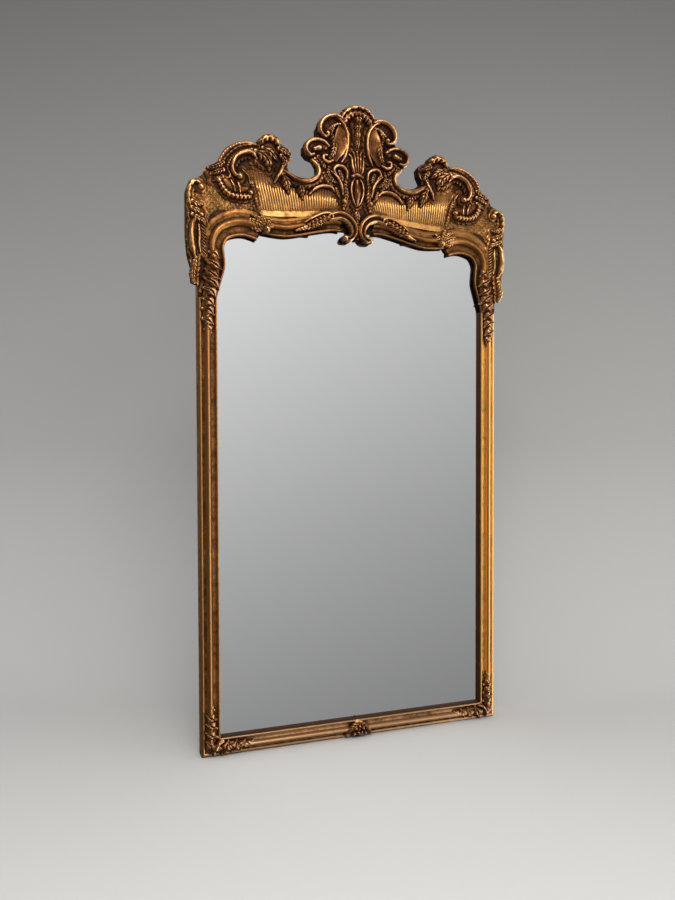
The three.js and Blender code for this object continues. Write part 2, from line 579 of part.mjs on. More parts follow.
// A sheet of parallel V-topped ribs that run along Z, turned about its middle and set at a place.
function ribbedSheet([x, z], length, span, pitch, rise, turn) {
  const count = Math.ceil(span / pitch);
  const half = (count * pitch) / 2;
  const [seat, floor] = [BACK_Y - SEAT, BACK_Y - SEAT - FIELD_THICK];
  const shape = new THREE.Shape();
  shape.moveTo(-half, seat);
  for (let k = 0; k < count; k++) {
    shape.lineTo(-half + k * pitch, floor);
    shape.lineTo(-half + (k + 0.5) * pitch, floor - rise);
  }
  shape.lineTo(half, floor);
  shape.lineTo(half, seat);
  const sheet = new THREE.ExtrudeGeometry(shape, { depth: length, bevelEnabled: false });
  sheet.translate(0, 0, -length / 2);
  sheet.rotateY(turn);
  sheet.translate(x, 0, z);
  return toSolid(sheet);
}

function field(outline, sheets) {
  const block = plate(outline, SEAT, SEAT + CARVING_PROUD);
  return sheets.reduce((solid, sheet) => solid.intersect(sheet), block);
}

const flutes = ribbedSheet(crest([136, 250]), 110 * UP, 224 * ACROSS, FLUTE_PITCH * BROAD, FLUTE_RISE * PROUD, 0);
carve('fluted_field', pieceOf(
  () => field(FLUTED, [flutes]),
  (grow) => stroke(overApron, [5, 5, 4], [4, 5, 4], { steps: 9, sides: 3, grow }),
), GILT);
const LATTICE_SPAN = 230 * Math.max(ACROSS, UP);
const slanting = (turn) =>
  ribbedSheet(crest([315, 212]), LATTICE_SPAN, LATTICE_SPAN, LATTICE_PITCH * BROAD, LATTICE_RISE * PROUD, turn);
carve('lattice_field', pieceOf(
  () => field(LATTICE, [slanting(Math.PI / 4), slanting(-Math.PI / 4)]),
  onCrest([[272, 203], [263, 211], [252, 214], [242, 210]], [5, 5, 5, 4], [3, 4, 4, 3], { steps: 4, sides: 3 }),
), GILT);

// Leaves over the straight mouldings: ribbed wraps on the stiles, corner leaves and a bottom shell.
const MID = FRAME_WIDTH / 2;
const OVER = SIDE_DEPTH + 3; // seat of leaves that lie over the moulding
const ofFace = (shares) => shares.map((share) => share * FRAME_WIDTH);
const overFace = (shares) => shares.map((share) => share * (TORUS_DEPTH + 12 - OVER));
carve('stile_wrap', (grow) => [
  stroke([[SIGHT_HALF + MID, STILE_LENGTH - WRAP_DROP], [SIGHT_HALF + MID, STILE_LENGTH - WRAP_DROP * 0.54],
    [SIGHT_HALF + MID - 1, STILE_LENGTH - 6], sight([339, 34]), sight([335, 68]), sight([338, 104])],
  ofFace([0.19, 0.6, 0.7, 0.76, 0.7, 0.24]), overFace([0.6, 0.84, 0.92, 0.95, 0.92, 0.62]),
  { seat: OVER, steps: 12, sides: 3, grow, lobes: 6 }),
], GILT);
const LEAF_WIDTHS = ofFace([0.19, 0.62, 0.71, 0.62]);
const LEAF_HEIGHTS = overFace([0.58, 0.75, 0.8, 0.7]);
carve('corner_leaf', (grow) => [
  stroke([[HALF_WIDTH - LEAF_RUN, MID], [HALF_WIDTH - LEAF_RUN * 0.7, MID], [HALF_WIDTH - LEAF_RUN * 0.4, MID],
    [HALF_WIDTH - MID * 1.15, MID]], LEAF_WIDTHS, LEAF_HEIGHTS, { seat: OVER, steps: 8, sides: 3, grow, lobes: 4 }),
  stroke([[HALF_WIDTH - MID, LEAF_CLIMB], [HALF_WIDTH - MID, LEAF_CLIMB * 0.7], [HALF_WIDTH - MID, LEAF_CLIMB * 0.4],
    [HALF_WIDTH - MID, MID * 1.05]], LEAF_WIDTHS, LEAF_HEIGHTS, { seat: OVER, steps: 8, sides: 3, grow, lobes: 4 }),
], GILT);
carve('bottom_shell', (grow) => [
  stroke([-1, -0.53, 0, 0.53, 1].map((share) => [share * SHELL_HALF, MID + 1 - 5 * share ** 2]),
    ofFace([0.21, 0.67, 0.86, 0.67, 0.21]), overFace([0.54, 0.75, 0.87, 0.75, 0.54]),
    { seat: OVER, steps: 8, sides: 3, grow }),
], GILT, false);

// ---------------------------------------------------------------- mirror and back
const glassTop = TOP_RAIL_Z - GLASS_PLAY;
add('mirror_plate', toGeometry(box([-GLASS_HALF, GLASS_HALF], [GLASS_BACK, LEDGE_DEPTH - JOIN],
  [GLASS_FOOT, glassTop])), MIRROR);

// Screw along Y: domed head behind `face`, shank forward to `tip`.
function screw([x, z], face, tip, grow = 0) {
  const radius = SCREW_SHANK + grow;
  const profile = [[0, tip + grow], [radius, tip + grow], [radius, face + grow], [SCREW_HEAD + grow, face + grow],
    [SCREW_HEAD * 0.7, face - SCREW_DOME], [0, face - SCREW_DOME]];
  const turned = new THREE.LatheGeometry(profile.map(([r, d]) => new THREE.Vector2(r, BACK_Y - d)), 8);
  const lathe = mergeVertices(turned, 1e-4);
  lathe.translate(x, 0, z);
  return closed(Array.from(lathe.attributes.position.array), Array.from(lathe.index.array));
}

// One screw near the outer end of each backboard, on both sides.
const boardSplit = (GLASS_FOOT + glassTop) / 2;
const boardBack = BOARD_FRONT - BOARD_THICK;
const stripX = GLASS_HALF - STRIP_WIDTH / 2;
const screwPlaces = [GLASS_FOOT + SCREW_INSET, boardSplit + SCREW_INSET].map((z) => [stripX, z]);
const boardScrew = (place, grow) => screw(place, boardBack - JOIN, GLASS_BACK - 2, grow);
screwPlaces.forEach((place, i) => addPair(`backboard_screw_${i + 1}`, toGeometry(boardScrew(place, 0)), STEEL));
const screwHoles = screwPlaces.map((place) => boardScrew(place, JOIN));
const bothSides = screwHoles.flatMap((hole) => [hole, toSolid(mirrored(toGeometry(hole)))]);
addPair('glazing_strip', toGeometry(cut(box([GLASS_HALF - STRIP_WIDTH, GLASS_HALF],
  [BOARD_FRONT + JOIN, GLASS_BACK - JOIN], [GLASS_FOOT, glassTop]), screwHoles)), BARE_WOOD);
const backboard = (z0, z1) => cut(box([-GLASS_HALF, GLASS_HALF], [boardBack, BOARD_FRONT], [z0, z1]), bothSides);
add('lower_backboard', toGeometry(backboard(GLASS_FOOT, boardSplit - JOIN)), BARE_WOOD);
add('upper_backboard', toGeometry(backboard(boardSplit + JOIN, glassTop)), BARE_WOOD);

// Battens that tie the crest boards to the top rail.
const battenX = crest([BOARD_JOINT, 0])[0] - BATTEN_WIDTH / 2;
addPair('crest_batten', toGeometry(box([battenX, battenX + BATTEN_WIDTH], [0, CREST_BACK - JOIN],
  [TOP_RAIL_Z + JOIN, BATTEN_TOP])), BARE_WOOD);

// ---------------------------------------------------------------- hangers
const eyeRadius = EYE_BORE + EYE_WALL;
const eyeZ = STILE_LENGTH - HANGER_FALL;
const hangerX = HALF_WIDTH - (FRAME_WIDTH - REBATE) / 2;
const eyeDepth = -(JOIN + eyeRadius);

// The strap is one strip, rolled over at the top into the ring's eye.
function strap() {
  const turn = (from, to, radius, count) => Array.from({ length: count + 1 }, (_, k) => {
    const a = from + ((to - from) * k) / count;
    return new THREE.Vector2(radius * Math.cos(a), eyeDepth + radius * Math.sin(a));
  });
  const shape = new THREE.Shape([
    new THREE.Vector2(-STRAP_LENGTH, -JOIN),
    ...turn(Math.PI / 2, -Math.PI * 0.94, eyeRadius, 9),
    new THREE.Vector2(-eyeRadius, -JOIN - STRAP_THICK),
    new THREE.Vector2(-STRAP_LENGTH, -JOIN - STRAP_THICK),
  ]);
  shape.holes = [new THREE.Path(turn(0, 2 * Math.PI * 0.875, EYE_BORE, 7))];
  const geometry = new THREE.ExtrudeGeometry(shape, { depth: STRAP_WIDTH, bevelEnabled: false });
  // shape x runs up Z, shape y is depth, extrusion runs along X
  const axes = [[0, 0, 1], [0, -1, 0], [1, 0, 0]].map((axis) => new THREE.Vector3(...axis));
  geometry.applyMatrix4(new THREE.Matrix4().makeBasis(...axes));
  geometry.translate(hangerX - STRAP_WIDTH / 2, BACK_Y, eyeZ);
  return toSolid(geometry);
}

function hangerRing() {
  const half = RING_WIDTH / 2;
  const corner = 3;
  const bend = new THREE.Path();
  bend.moveTo(-half + corner, 0);
  bend.lineTo(half - corner, 0);
  bend.absarc(half - corner, -corner, corner, Math.PI / 2, 0, true);
  bend.lineTo(half, -RING_DROP + half);
  bend.absarc(0, -RING_DROP + half, half, 0, -Math.PI, true);
  bend.lineTo(-half, -corner);
  bend.absarc(-half + corner, -corner, corner, Math.PI, Math.PI / 2, true);
  const points = bend.getPoints(2).filter((p, i, list) => i === 0 || p.distanceTo(list[i - 1]) > 0.01).slice(0, -1);
  const stations = points.map((p, i) => {
    const ahead = points[(i + 1) % points.length];
    const behind = points[(i - 1 + points.length) % points.length];
    const d = ahead.clone().sub(behind).normalize();
    return { t: 0, x: hangerX + p.x, z: eyeZ + p.y, nx: -d.y, nz: d.x };
  });
  const wire = Array.from({ length: 6 }, (_, k) => (k * Math.PI) / 3)
    .map((a) => [RING_WIRE * Math.cos(a), eyeDepth + RING_WIRE * Math.sin(a)]);
  return sweep(stations, () => wire, true);
}

const strapScrewAt = [hangerX, eyeZ - STRAP_LENGTH + 11];
const strapFace = -JOIN - STRAP_THICK - JOIN;
addPair('hanger_screw', toGeometry(screw(strapScrewAt, strapFace, -JOIN)), STEEL);
addPair('hanger_strap', toGeometry(cut(strap(), [screw(strapScrewAt, strapFace, 2, JOIN)])), STEEL);
addPair('hanger_ring', toGeometry(hangerRing()), STEEL);

export default group;
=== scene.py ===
# Overmantel mirror in a gilded, carved rococo frame. Blender 4.5.
# The sizes of the carving are in millimetres, as on the carver's drawing. They turn into metres when a
# mesh is made.
import math
import bmesh
import bpy
import numpy as np
from mathutils import Matrix, Vector
from mathutils.bvhtree import BVHTree


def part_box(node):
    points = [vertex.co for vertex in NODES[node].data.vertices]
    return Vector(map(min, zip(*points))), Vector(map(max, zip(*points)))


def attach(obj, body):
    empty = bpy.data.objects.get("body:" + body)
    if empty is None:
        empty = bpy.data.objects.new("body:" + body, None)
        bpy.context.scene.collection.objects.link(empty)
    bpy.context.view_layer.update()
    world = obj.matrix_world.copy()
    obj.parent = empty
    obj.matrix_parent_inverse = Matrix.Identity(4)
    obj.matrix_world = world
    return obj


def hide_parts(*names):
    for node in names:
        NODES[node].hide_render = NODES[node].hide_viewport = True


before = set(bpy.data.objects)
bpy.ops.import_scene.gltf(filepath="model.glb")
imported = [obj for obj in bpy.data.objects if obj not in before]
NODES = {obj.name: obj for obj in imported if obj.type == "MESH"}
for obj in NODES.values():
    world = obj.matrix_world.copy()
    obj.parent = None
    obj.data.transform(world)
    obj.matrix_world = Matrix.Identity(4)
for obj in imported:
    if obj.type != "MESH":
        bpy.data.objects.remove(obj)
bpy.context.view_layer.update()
MM = 0.001  # metres

# ---------------------------------------------------------------- the viewer
# The mirror is seen from the left of its centre, from a little under half its height.
EYE = Vector((-0.6306, -1.6984, 0.7405))
EYE_TURN, EYE_TIP, EYE_LEAN = 0.33356, -0.02762, -0.0034

ahead = Vector((math.sin(EYE_TURN) * math.cos(EYE_TIP), math.cos(EYE_TURN) * math.cos(EYE_TIP),
                math.sin(EYE_TIP)))
across = Vector((math.cos(EYE_TURN), -math.sin(EYE_TURN), 0))
upward = across.cross(ahead)
leant_across = across * math.cos(EYE_LEAN) + upward * math.sin(EYE_LEAN)
leant_upward = upward * math.cos(EYE_LEAN) - across * math.sin(EYE_LEAN)
eye_axes = Matrix((leant_across, leant_upward, -ahead)).transposed()
viewer = bpy.data.objects.new("viewer", bpy.data.cameras.new("viewer"))
viewer.data.lens = 30
viewer.data.sensor_width = 36
viewer.matrix_world = Matrix.Translation(EYE) @ eye_axes.to_4x4()
bpy.context.scene.collection.objects.link(viewer)
bpy.context.scene.camera = viewer

# ---------------------------------------------------------------- the studio
# A roll of graded grey paper hangs behind the mirror and runs forward under it. The paper is painted
# darker towards the top, so that its grey falls evenly up the picture. Its back is see-through.
PAPER_TOP_GREY, PAPER_FALL = 0.435, 0.397  # grey at the top edge of the picture, and its rise to the foot
PAPER_PAINTED_LIGHT = 0.058  # painted light: the paper is painted paler in the middle, where the mirror shades it
PAPER_WALL, PAPER_BEND, PAPER_WIDE = 2.7, 0.7, 3.2  # metres from the viewer, radius of the bend, half width
PAPER_FRONT, PAPER_TALL, PAPER_ROWS = 1.05, 4.2, 24  # metres from the viewer, height, rows in each part
HORIZON, FOCAL = 0.477, 0.8333  # the eye's level from the top of the picture, focal length in picture heights
ROOM_LIGHT = 0.80
# Light that comes back from the room at each slope, from the floor (-1) to the ceiling (1). The glass
# shows only the part from -0.5 to 0.3. The wall falls off to the right, and a tall window stands beyond it.
ROOM_WALL = [(-1, 0.02), (-0.6, 0.06), (-0.5, 0.19), (-0.39, 0.275), (-0.277, 0.35), (-0.114, 0.455),
             (0.059, 0.595),
             (0.228, 0.745), (0.30, 0.79), (0.42, 0.50), (0.55, 0.28), (0.75, 0.25), (1, 0.5)]
# The share of it that is left from the left (-1) to the right (1), and the window's share.
WALL_ACROSS = [(-1, 0.12), (-0.3, 0.20), (0.05, 0.60), (0.15, 1.0), (0.50, 0.745), (1, 0.60)]
WINDOW_ACROSS = [(-1, 0), (0.505, 0), (0.60, 1), (0.72, 1), (0.84, 0.2), (1, 0.1)]
WINDOW_LIGHT, WINDOW_TOP = 3.2, (0.42, 0.12)  # its light, and the slopes between which it starts
LAMP_WARMTH = (1, 0.95, 0.86)


def to_linear(grey):
    return ((grey + 0.055) / 1.055) ** 2.4


def grey_at(out, height):
    """The grey that the paper needs at a distance from the viewer and a height above the floor."""
    down_the_picture = HORIZON - FOCAL * (height - EYE.z) / max(out, 0.9)
    # Painted light: the paper is made paler in the middle of the picture, to make up for the shade there.
    painted_light = PAPER_PAINTED_LIGHT * math.sin(math.pi * min(max(down_the_picture, 0), 1.2) / 1.2)
    return PAPER_TOP_GREY + PAPER_FALL * min(max(down_the_picture, -0.3), 1.1) + painted_light


def paper_roll():
    bend = [(PAPER_WALL - PAPER_BEND * (1 - math.sin(a)), PAPER_BEND * (1 - math.cos(a)))
            for a in np.linspace(0, math.pi / 2, PAPER_ROWS)]
    rows = [(out, 0.0) for out in np.linspace(PAPER_FRONT, PAPER_WALL - PAPER_BEND, PAPER_ROWS)][:-1]
    rows += bend + [(PAPER_WALL, height) for height in np.linspace(PAPER_BEND, PAPER_TALL, PAPER_ROWS)][1:]
    flat_ahead = Vector((math.sin(EYE_TURN), math.cos(EYE_TURN), 0))
    verts, faces, tones = [], [], []
    for out, height in rows:
        for side in (-PAPER_WIDE, PAPER_WIDE):
            place = Vector((EYE.x, EYE.y, 0)) + flat_ahead * out + across * side
            verts.append((place.x, place.y, height - 0.0005))
            tones.append(grey_at(out, height))
    for k in range(len(rows) - 1):
        faces.append((2 * k, 2 * k + 1, 2 * k + 3, 2 * k + 2))
    mesh = bpy.data.meshes.new("paper")
    mesh.from_pydata(verts, [], faces)
    tone = mesh.attributes.new("tone", "FLOAT", "POINT")
    tone.data.foreach_set("value", [to_linear(t) for t in tones])
    mesh.polygons.foreach_set("use_smooth", [True] * len(faces))
    paper = bpy.data.objects.new("paper", mesh)
    bpy.context.scene.collection.objects.link(paper)
    return paper


def wired(tree, links):
    """Joins sockets in a tree: each link is (from node, output, to node, input)."""
    for source, output, target, socket in links:
        tree.links.new(source.outputs[output], target.inputs[socket])


def node_in(tree, kind, inputs=None, **fields):
    """A new node in a tree, with its fields and its inputs, by name or number, filled in."""
    node = tree.nodes.new(kind)
    for field, value in fields.items():
        setattr(node, field, value)
    for socket, value in (inputs or {}).items():
        node.inputs[socket].default_value = value
    return node


def ranged(tree, low, high, to_low=0.0, to_high=1.0, **fields):
    """A node that carries the range from low to high onto another."""
    limits = {"From Min": low, "From Max": high, "To Min": to_low, "To Max": to_high}
    return node_in(tree, "ShaderNodeMapRange", limits, **fields)


def ramp(tree, stops):
    """A colour ramp through stops, each a place and a colour."""
    node = tree.nodes.new("ShaderNodeValToRGB")
    marks = node.color_ramp.elements
    for mark, (at, colour) in zip((marks[0], marks[1]), (stops[0], stops[-1])):
        mark.position, mark.color = at, (*colour, 1)
    for at, colour in stops[1:-1]:
        marks.new(at).color = (*colour, 1)
    return node


def fresh(name):
    """A new material, its tree and its surface."""
    material = bpy.data.materials.new(name)
    material.use_nodes = True
    return material, material.node_tree, material.node_tree.nodes.get("Principled BSDF")


def paper_material():
    material, tree, _ = fresh("graded_paper")
    tree.nodes.clear()
    new = tree.nodes.new
    tone = node_in(tree, "ShaderNodeAttribute", attribute_name="tone")
    matte, clear = new("ShaderNodeBsdfDiffuse"), new("ShaderNodeBsdfTransparent")
    side, either = new("ShaderNodeNewGeometry"), new("ShaderNodeMixShader")
    out = new("ShaderNodeOutputMaterial")
    wired(tree, [(tone, "Fac", matte, "Color"), (side, "Backfacing", either, "Fac"), (matte, 0, either, 1),
                 (clear, 0, either, 2), (either, 0, out, "Surface")])
    return material


paper = paper_roll()
paper.data.materials.append(paper_material())
paper.visible_glossy = False  # the glass shows the far side of the room, not the paper at its foot


def room():
    """Even light, with a dim graded wall behind the viewer for the glass to show."""
    world = bpy.data.worlds.new("room")
    bpy.context.scene.world = world
    world.use_nodes = True
    tree = world.node_tree
    tree.nodes.clear()
    new = tree.nodes.new
    place, parts, rays = new("ShaderNodeTexCoord"), new("ShaderNodeSeparateXYZ"), new("ShaderNodeLightPath")
    height, sideways = ranged(tree, -1.0, 1.0), ranged(tree, -1.0, 1.0)
    wall, fall, beside = (ramp(tree, [((at + 1) / 2, (grey,) * 3) for at, grey in stops])
                          for stops in (ROOM_WALL, WALL_ACROSS, WINDOW_ACROSS))
    below = ranged(tree, *WINDOW_TOP, 0.0, WINDOW_LIGHT)
    window, shown, either = (node_in(tree, "ShaderNodeMath", operation=kind)
                             for kind in ("MULTIPLY", "MULTIPLY", "MAXIMUM"))
    dimmed, lit = (node_in(tree, "ShaderNodeVectorMath", operation=kind) for kind in ("MULTIPLY", "ADD"))
    seen = node_in(tree, "ShaderNodeMix", {6: (ROOM_LIGHT, ROOM_LIGHT, ROOM_LIGHT, 1)}, data_type="RGBA")
    light, out = new("ShaderNodeBackground"), new("ShaderNodeOutputWorld")
    wired(tree,
          [(place, "Generated", parts, 0), (parts, "Z", height, "Value"), (height, "Result", wall, "Fac"),
           (parts, "X", sideways, "Value"), (sideways, "Result", fall, "Fac"), (wall, "Color", dimmed, 0),
           (fall, "Color", dimmed, 1), (sideways, "Result", beside, "Fac"), (parts, "Z", below, "Value"),
           (beside, "Color", window, 0), (below, "Result", window, 1), (dimmed, 0, lit, 0),
           (window, 0, shown, 0), (rays, "Is Glossy Ray", shown, 1), (shown, 0, lit, 1),
           (rays, "Is Glossy Ray", either, 0), (rays, "Is Camera Ray", either, 1),
           (either, 0, seen, "Factor"), (lit, 0, seen, 7), (seen, 2, light, "Color"),
           (light, 0, out, "Surface")])


room()


def softbox(name, place, aim, size, power):
    """A flat lamp with a plain warm cloth, turned towards a place on the mirror."""
    lamp = bpy.data.objects.new(name, bpy.data.lights.new(name, "AREA"))
    lamp.data.shape = "RECTANGLE"
    lamp.data.size, lamp.data.size_y = size
    lamp.data.energy = power
    lamp.data.color = LAMP_WARMTH
    lamp.location = place
    lamp.rotation_euler = (Vector(aim) - Vector(place)).to_track_quat("-Z", "Y").to_euler()
    bpy.context.scene.collection.objects.link(lamp)


softbox("key_lamp", (-0.5, -1.9, 2.5), (-0.1, 0, 1.3), (1.0, 0.5), 26)
softbox("side_lamp", (1.75, -1.5, 1.0), (0.2, 0, 0.8), (0.4, 1.7), 4)
softbox("low_lamp", (0.21, -1.72, 1.83), (-0.2, 0, 1.27), (0.6, 0.2), 5)
bpy.context.scene.view_settings.view_transform = "Standard"

# ---------------------------------------------------------------- stiles and bottom rail
# Pine moulding, gessoed and gilded with a bronze-toned leaf: a lip at the sight edge, a cove, a large
# torus, a groove and an outer bead. Years of wax and dust stay dark in the hollows, with painted shade
# added there, and the leaf is rubbed bright along the rounds, where a highlight is painted too. The three
# lengths are mitred at the foot.
STILE_TOP, HALF_WIDTH, FACE, ARCH_FACE = 1035.0, 375.0, 42.0, 62.0
SIDE, LEDGE, CREST_FACE, JOIN = 30.0, 27.0, 33.0, 0.3
REBATE = 8  # width of the ledge that the glass lies on
BACK_Y = 15.0  # the wall face of the frame; depths run forward from it
SIGHT = HALF_WIDTH - FACE
SEAT = CREST_FACE + JOIN
CREST_HALF = 399.6  # nothing is carved further out
DUST_AND_SHADE_REACH = 4.5  # width over which a moulding's members shade each other: the reach of the painted shade, with the dust, in its hollows


def old_gilding():
    """Colour, sheen and tooth of worn gilding, from how hollow a place is and how it was rubbed, with painted
    shade in the hollows and a painted highlight on the open ridges.
    """
    group = bpy.data.node_groups.new("old_gilding", "ShaderNodeTree")
    for names, way, kind in (("Leaf Rubbed Wax", "INPUT", "Color"), ("DirtAndShade", "INPUT", "Float"),
                             ("Color", "OUTPUT", "Color"), ("Roughness Metallic Height", "OUTPUT", "Float")):
        for name in names.split():
            group.interface.new_socket(name, in_out=way, socket_type=f"NodeSocket{kind}")
    new = group.nodes.new
    given, out, place = new("NodeGroupInput"), new("NodeGroupOutput"), new("ShaderNodeTexCoord")
    hollow = node_in(group, "ShaderNodeAttribute", attribute_name="hollow")

    def noise(scale, detail, rough=0.55):
        node = node_in(group, "ShaderNodeTexNoise", {"Scale": scale, "Detail": detail, "Roughness": rough})
        wired(group, [(place, "Object", node, "Vector")])
        return node

    def sum_of(node, output, factor, base=None, constant=0.0):
        add = node_in(group, "ShaderNodeMath", {1: factor, 2: constant}, operation="MULTIPLY_ADD")
        wired(group, [(node, output, add, 0)] + ([(base, 0, add, 2)] if base is not None else []))
        return add

    def step(node, low, high):
        mask = ranged(group, low, high, interpolation_type="SMOOTHSTEP")
        wired(group, [(node, 0, mask, "Value")])
        return mask

    def blend(mask, one, one_output, two, two_output):
        mix = node_in(group, "ShaderNodeMix", data_type="RGBA")
        wired(group, [(mask, 0, mix, "Factor"), (one, one_output, mix, 6), (two, two_output, mix, 7)])
        return mix

    # Painted shade: ambient occlusion darkens the colour in corners, creases and recesses.
    occlusion_shade = node_in(group, "ShaderNodeAmbientOcclusion", {"Distance": 0.014}, samples=8)
    broad, patches, grain = noise(9, 3), noise(70, 5, 0.65), noise(900, 3)
    mottled = sum_of(patches, "Fac", 1.3, constant=-0.70)
    shaded = sum_of(occlusion_shade, "AO", -0.9, sum_of(broad, "Fac", 0.8, mottled))
    tone = sum_of(hollow, "Fac", 0.66, sum_of(shaded, 0, 1.0, constant=0.75))
    dust_and_shade_level = node_in(group, "ShaderNodeMath", operation="ADD")
    wired(group, [(tone, 0, dust_and_shade_level, 0), (given, "DirtAndShade", dust_and_shade_level, 1)])
    # The dark mask is real wax and dust together with painted shade; the bright mask paints rubbed leaf
    # together with a painted highlight on open ridges.
    dark_wax_and_shade, bright = step(dust_and_shade_level, 0.12, 0.85), step(tone, 0.02, -0.62)
    colour = blend(dark_wax_and_shade, blend(bright, given, "Leaf", given, "Rubbed"), 2, given, "Wax")
    rough = sum_of(grain, "Fac", 0.16, sum_of(dark_wax_and_shade, 0, 0.36, constant=0.25))
    metal = sum_of(dark_wax_and_shade, 0, -0.75, constant=0.92)
    height = sum_of(patches, "Fac", 0.65, sum_of(grain, "Fac", 0.35))
    wired(group, [(colour, 2, out, "Color"), (rough, 0, out, "Roughness"), (metal, 0, out, "Metallic"),
                  (height, 0, out, "Height")])
    return group


GILDING = old_gilding()


def gilt_material(name, leaf, rubbed, wax, dirt):
    """Gilding: its leaf, the bright leaf where it is rubbed and where a highlight is painted, the wax and
    painted shade in its hollows, and how far that dark spreads.
    """
    material, tree, surface = fresh(name)
    surface.inputs["Specular IOR Level"].default_value = 0.12  # old wax hardly shines
    age = node_in(tree, "ShaderNodeGroup", node_tree=GILDING)
    for socket, value in (("Leaf", (*leaf, 1)), ("Rubbed", (*rubbed, 1)), ("Wax", (*wax, 1)), ("DirtAndShade", dirt)):
        age.inputs[socket].default_value = value
    tooth = node_in(tree, "ShaderNodeBump", {"Strength": 0.5, "Distance": 0.0007})
    wired(tree, [(age, "Color", surface, "Base Color"), (age, "Roughness", surface, "Roughness"),
                 (age, "Metallic", surface, "Metallic"), (age, "Height", tooth, "Height"),
                 (tooth, "Normal", surface, "Normal")])
    return material


# Bright leaf on the mouldings and the low carving, browner leaf up on the crest, the dullest on its boards.
GILT = gilt_material("giltwood", (0.34, 0.145, 0.040), (0.92, 0.53, 0.215), (0.024, 0.008, 0.002), 0.10)
BRONZED = gilt_material("bronzed_gilt", (0.19, 0.072, 0.021), (0.85, 0.45, 0.19), (0.017, 0.0052, 0.001),
                        0.20)
GROUND = gilt_material("gilt_ground", (0.085, 0.033, 0.009), (0.30, 0.13, 0.04), (0.010, 0.004, 0.0015), 0.25)
# Lit and shaded copies of one gilding: the left stile is painted darker and redder as shade, the right one
# painted bright as the light from the right, and the rail is painted paler.
STRAIGHT_GILT = {name: gilt_material(*look) for name, *look in (
    ("left_stile", "shaded_red_gilt", (0.45, 0.205, 0.065), (0.82, 0.47, 0.20), (0.062, 0.022, 0.007), -0.05),
    ("right_stile", "lit_bright_gilt", (0.88, 0.47, 0.125), (0.94, 0.60, 0.225), (0.06, 0.021, 0.005), -0.36),
    ("bottom_rail", "pale_gilt", (0.60, 0.34, 0.165), (0.95, 0.66, 0.39), (0.052, 0.020, 0.007), -0.18))}


def aged_pine(name, along, early, late):
    """Planed pine with its grain along X (0) or Z (2)."""
    material, tree, surface = fresh(name)
    place = tree.nodes.new("ShaderNodeTexCoord")
    stretch = node_in(tree, "ShaderNodeMapping", {"Scale": (1.5, 26, 26) if along == 0 else (26, 26, 1.5)})
    rings = node_in(tree, "ShaderNodeTexWave",
                    {"Scale": 0.32, "Distortion": 11, "Detail": 3, "Detail Scale": 0.7},
                    bands_direction="Z" if along == 0 else "X")
    fibre = node_in(tree, "ShaderNodeTexNoise", {"Scale": 14, "Detail": 6})
    patch = node_in(tree, "ShaderNodeTexNoise", {"Scale": 11, "Detail": 5})
    wood = ramp(tree, [(0, early), (1, late)])
    dust = node_in(tree, "ShaderNodeMix", {7: (0.16, 0.125, 0.09, 1)}, data_type="RGBA")
    worn, matte = ranged(tree, 0.45, 0.8, 0, 0.7), ranged(tree, 0, 1, 0.62, 0.86)
    tooth = node_in(tree, "ShaderNodeBump", {"Strength": 0.35, "Distance": 0.0006})
    wired(tree,
          [(place, "Object", stretch, "Vector"), (stretch, 0, rings, "Vector"), (stretch, 0, fibre, "Vector"),
           (place, "Object", patch, "Vector"), (rings, "Fac", wood, "Fac"), (wood, "Color", dust, 6),
           (patch, "Fac", worn, "Value"), (worn, "Result", dust, "Factor"), (dust, 2, surface, "Base Color"),
           (fibre, "Fac", matte, "Value"), (matte, "Result", surface, "Roughness"),
           (fibre, "Fac", tooth, "Height"), (tooth, "Normal", surface, "Normal")])
    return material


RAIL_PINE = aged_pine("pine_along", 0, (0.30, 0.175, 0.085), (0.19, 0.10, 0.045))
STRIP_PINE = aged_pine("pine_upright", 2, (0.26, 0.15, 0.07), (0.17, 0.09, 0.04))


def piece_of(name, verts, faces, material, hollow=None, smooth_angle=40):
    """A finished piece: its mesh from millimetre places, its finish and its share of dust and painted shade.
    """
    mesh = bpy.data.meshes.new(name)
    mesh.from_pydata((np.asarray(verts, float) * MM).tolist(), [], [list(map(int, f)) for f in faces])
    mesh.materials.append(material)
    mesh.polygons.foreach_set("use_smooth", [True] * len(mesh.polygons))
    mesh.set_sharp_from_angle(angle=math.radians(smooth_angle))
    if hollow is not None:
        share = mesh.attributes.new("hollow", "FLOAT", "POINT")
        share.data.foreach_set("value", np.asarray(hollow, np.float32))
    mesh.update()
    piece = bpy.data.objects.new(name, mesh)
    bpy.context.scene.collection.objects.link(piece)
    return piece


def fixed(piece, slot, *nodes):
    """The piece rides on the frame in the place of its CAD nodes."""
    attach(piece, "frame")
    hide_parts(*nodes)


def round_over(start, end, base, top, count):
    turn = np.linspace(math.pi, 0, count)
    return np.stack([start + (end - start) * (1 + np.cos(turn)) / 2, base + (top - base) * np.sin(turn)], 1)


def moulding_front(width, floor):
    """[across, depth] from the sight edge outward."""
    front = np.concatenate([
        round_over(0, 0.11 * width, 38.5, 41, 7),  # lip
        round_over(0.13 * width, 0.36 * width, 36.5, 34, 9),  # cove
        round_over(0.37 * width, 0.68 * width, 36, 45, 15),  # torus
        [[part * width, depth]
         for part, depth in ((0.695, 33.0), (0.715, 31.5), (0.745, 31.2), (0.775, 31.6))],  # groove
        round_over(0.79 * width, width, SIDE + 1, 35, 9)])  # bead
    front[:, 1] = np.maximum(front[:, 1], floor)
    return front


